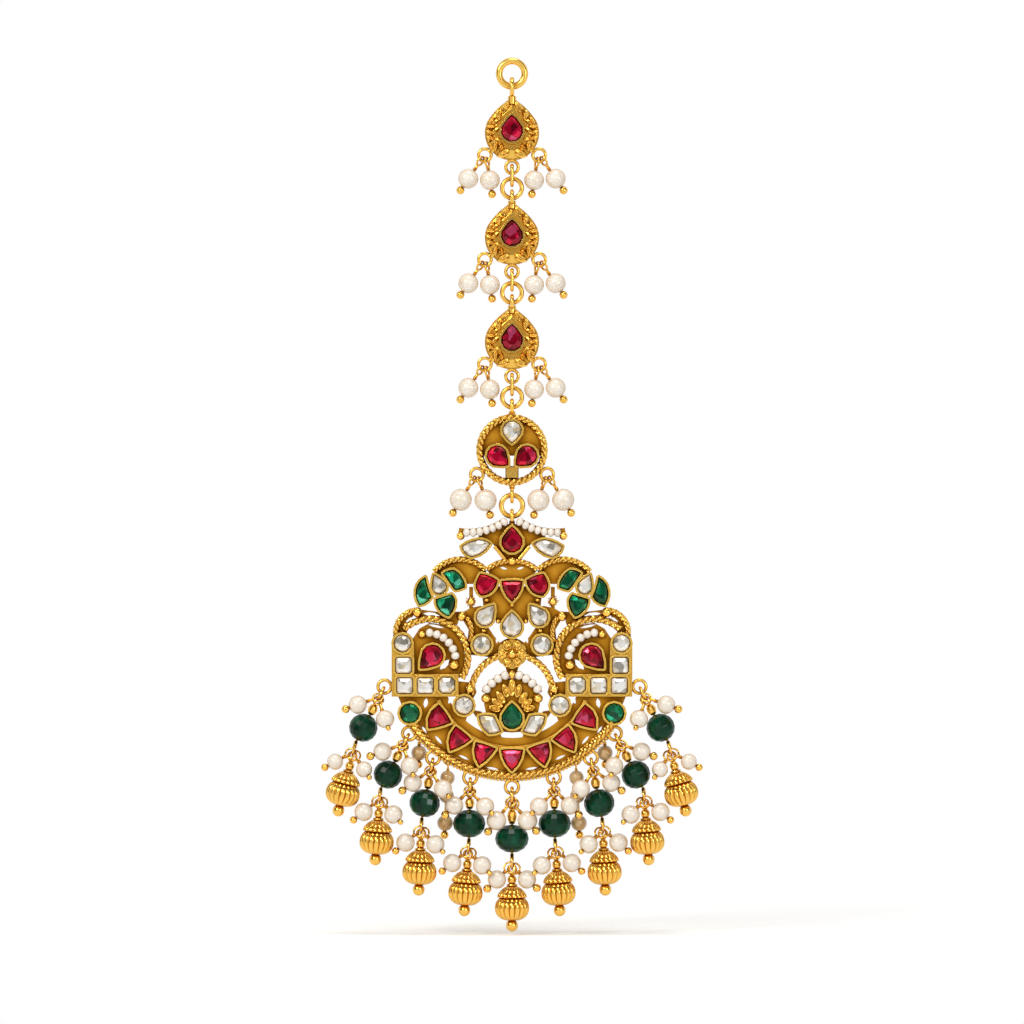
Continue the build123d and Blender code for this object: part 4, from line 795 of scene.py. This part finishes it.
# ------------------------------------------------------------ the drops
BEAD_HALF = 2.49
BEAD_TO_JOINT = 0.40     # from a bead's lower end to the ring that its bell hangs in
LOWER_LOOP = 1.20
SHORT_DROP = {"eye_to_link": 1.50, "forward": 0.29, "bead_z": -6.60}
LONG_DROP = {"eye_to_link": 1.60, "forward": 0.28, "bead_z": -7.45}
# where each drop hangs about the hub, and how it leans above and below its bead
DROPS = [
    {"x": -22.30, "z": -5.56, "lean": 27.3, "lower_lean": 14.3, "bead_r": 2.55, "form": SHORT_DROP},
    {"x": -18.00, "z": -13.75, "lean": 27.1, "lower_lean": 4.3, "bead_r": 2.60, "form": SHORT_DROP},
    {"x": -13.80, "z": -18.00, "lean": 10.5, "lower_lean": 2.5, "bead_r": 2.75, "form": SHORT_DROP},
    {"x": -7.30, "z": -21.45, "lean": 1.2, "lower_lean": 3.8, "bead_r": 2.90, "form": SHORT_DROP},
    {"x": 0, "z": -23.13, "lean": 0, "lower_lean": 0, "bead_r": 3.0, "form": LONG_DROP},
]
DROPS += [dict(row, x=-row["x"], lean=-row["lean"], lower_lean=-row["lower_lean"]) for row in DROPS[3::-1]]


def leaned(origin, lean):
    return Matrix.Translation(origin) @ Matrix.Rotation(radians(lean), 4, "Y")


def drop_places(row):
    """The places of a drop's bead and of its bell's loop, in millimetres."""
    form = row["form"]
    eye = leaned((row["x"], 0, HUB_Z + row["z"]), row["lean"])
    link = eye @ Matrix.Translation((0, 0, -form["eye_to_link"]))
    bead = link @ Matrix.Translation((0, form["forward"], form["bead_z"]))
    joint = link @ Vector((0, form["forward"], form["bead_z"] - BEAD_HALF - BEAD_TO_JOINT))
    return bead, leaned(joint, row["lower_lean"]) @ Matrix.Translation((0, 0, -LOWER_LOOP))


# the stamped bell under a drop, as heights and radii below the centre of the loop that it hangs in
BARREL = [
    (-1.85, 0.0), (-1.95, 0.32), (-2.45, 0.50), (-2.65, 0.72), (-3.10, 0.80), (-3.55, 0.70),
    (-3.80, 0.50), (-3.88, 0.90), (-4.10, 0.98), (-4.28, 0.80),
]
CAP = [
    (-4.15, 0.0), (-4.22, 0.80), (-4.40, 1.25), (-4.75, 1.75), (-5.20, 2.20), (-5.60, 2.48),
    (-5.90, 2.60), (-6.12, 2.62), (-6.25, 2.45), (-6.25, 0.0),
]
MELON = [
    (-6.00, 0.0), (-6.10, 1.70), (-6.30, 2.15), (-6.65, 2.58), (-7.10, 2.87), (-7.60, 3.02), (-8.10, 3.06),
    (-8.60, 3.02), (-9.10, 2.82), (-9.55, 2.48), (-9.95, 1.95), (-10.20, 1.30), (-10.28, 0.0),
]
# each turned part of the bell: its steps round, its flutes and how deep they are cut
BELL_PARTS = [
    {"profile": BARREL, "steps": 20, "flutes": 0, "cut": 0.0},
    {"profile": CAP, "steps": 128, "flutes": 16, "cut": 0.13},
    {"profile": MELON, "steps": 144, "flutes": 18, "cut": 0.10},
]
FLUTE_ROUND = 0.6        # below 1 the flutes are full and their grooves narrow
FLUTE_START = 0.15       # the share of their depth that flutes have near the axis
AXIS_R = 0.01            # what lies nearer the axis than this isn't fluted
BELL_LOOP = {"z": -1.33, "radius": 0.75, "wire": 0.20}
BELL_FORWARD = 0.34
BELL_BALL = {"height": -11.13, "radius": 1.06}


def turned_form(profile, steps, flutes, cut):
    """A profile of heights and radii spun round, its sides gathered into flutes."""
    form = bmesh.new()
    verts = [form.verts.new((radius, 0, height)) for height, radius in profile]
    edges = [form.edges.new(pair) for pair in zip(verts, verts[1:])]
    bmesh.ops.spin(
        form, geom=verts + edges, cent=(0, 0, 0), axis=(0, 0, 1), angle=2 * pi, steps=steps, use_merge=True,
    )
    bmesh.ops.remove_doubles(form, verts=form.verts, dist=0.0005)
    widest = max(radius for height, radius in profile)
    for vert in form.verts:
        reach = vert.co.xy.length
        if not flutes or reach < AXIS_R:
            continue
        lobe = abs(sin(vert.co.xy.angle_signed(Vector((1, 0))) * flutes / 2))
        vert.co.xy *= 1 - cut * (1 - lobe ** FLUTE_ROUND) * min(1, reach / widest + FLUTE_START)
    return form


def gold_bell():
    bell = bmesh.new()
    for part in BELL_PARTS:
        joined(bell, turned_form(**part))
    ball = Matrix.Translation((0, 0, BELL_BALL["height"]))
    bmesh.ops.create_uvsphere(bell, u_segments=20, v_segments=12, radius=BELL_BALL["radius"], matrix=ball)
    across = 2 * (BELL_LOOP["radius"] + BELL_LOOP["wire"])
    upright = Matrix.Rotation(radians(90), 4, "X") @ Matrix.Scale(across, 4)
    hang = Matrix.Translation((0, 0, BELL_LOOP["z"])) @ upright
    wire_loop(bell, hang, BELL_LOOP["wire"] / across, around=24, sides=10)
    bell.transform(Matrix.Translation((0, BELL_FORWARD, 0)))
    return bell


BEAD_TURN = 8            # turned so that no cut looks straight at the viewer
BEAD_EDGE = 0.035        # how far the edges between the cuts are worn


def cut_bead(radius):
    """A rondelle with rows of flat cuts and slightly worn edges."""
    bead = bmesh.new()
    bmesh.ops.create_uvsphere(bead, u_segments=16, v_segments=8, radius=1.0)
    turned = Matrix.Rotation(radians(BEAD_TURN), 3, "Z")
    bmesh.ops.rotate(bead, verts=bead.verts, cent=(0, 0, 0), matrix=turned)
    bmesh.ops.scale(bead, verts=bead.verts, vec=(radius, radius, BEAD_HALF))
    bmesh.ops.bevel(
        bead, geom=bead.edges[:] + bead.verts[:], offset=BEAD_EDGE, segments=1, profile=0.5,
        material=-1, affect="EDGES",
    )
    return bead


SLEEVE_WIRE = 0.36
SLEEVE_FROM = 12         # where the sleeve ends, in degrees above the ring's middle


def ring_sleeve():
    """A thick half ring, over the upper half of the ring that a bell and its pearls hang in."""
    sleeve = bmesh.new()
    stand = Matrix.Translation((0, LOWER_LOOP, 0))
    verts = bmesh.ops.create_circle(sleeve, segments=12, radius=SLEEVE_WIRE, matrix=stand)["verts"]
    tipped = Matrix.Rotation(radians(SLEEVE_FROM), 3, "X")
    bmesh.ops.rotate(sleeve, verts=verts, cent=(0, 0, 0), matrix=tipped)
    bmesh.ops.spin(
        sleeve, geom=verts + sleeve.edges[:], cent=(0, 0, 0), axis=(1, 0, 0),
        angle=radians(180 - 2 * SLEEVE_FROM), steps=12,
    )
    bmesh.ops.holes_fill(sleeve, edges=[edge for edge in sleeve.edges if edge.is_boundary])
    return sleeve


def drops():
    for number, row in enumerate(DROPS, start=1):
        bead_place, bell_place = drop_places(row)
        bead = finished(
            f"cut_bead_{number}", cut_bead(row["bead_r"]), BEAD_GLASS, "pendant",
            UPRIGHT @ bead_place, crease=0,
        )
        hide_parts(f"emerald_bead_{number}")
        bell = finished(
            f"fluted_bell_{number}", gold_bell(), POLISHED_GOLD, "pendant",
            UPRIGHT @ bell_place, crease=50,
        )
        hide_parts(f"gold_bell_{number}")
        finished(
            f"ring_sleeve_{number}", ring_sleeve(), POLISHED_GOLD, "pendant",
            UPRIGHT @ bell_place,
        )


drops()
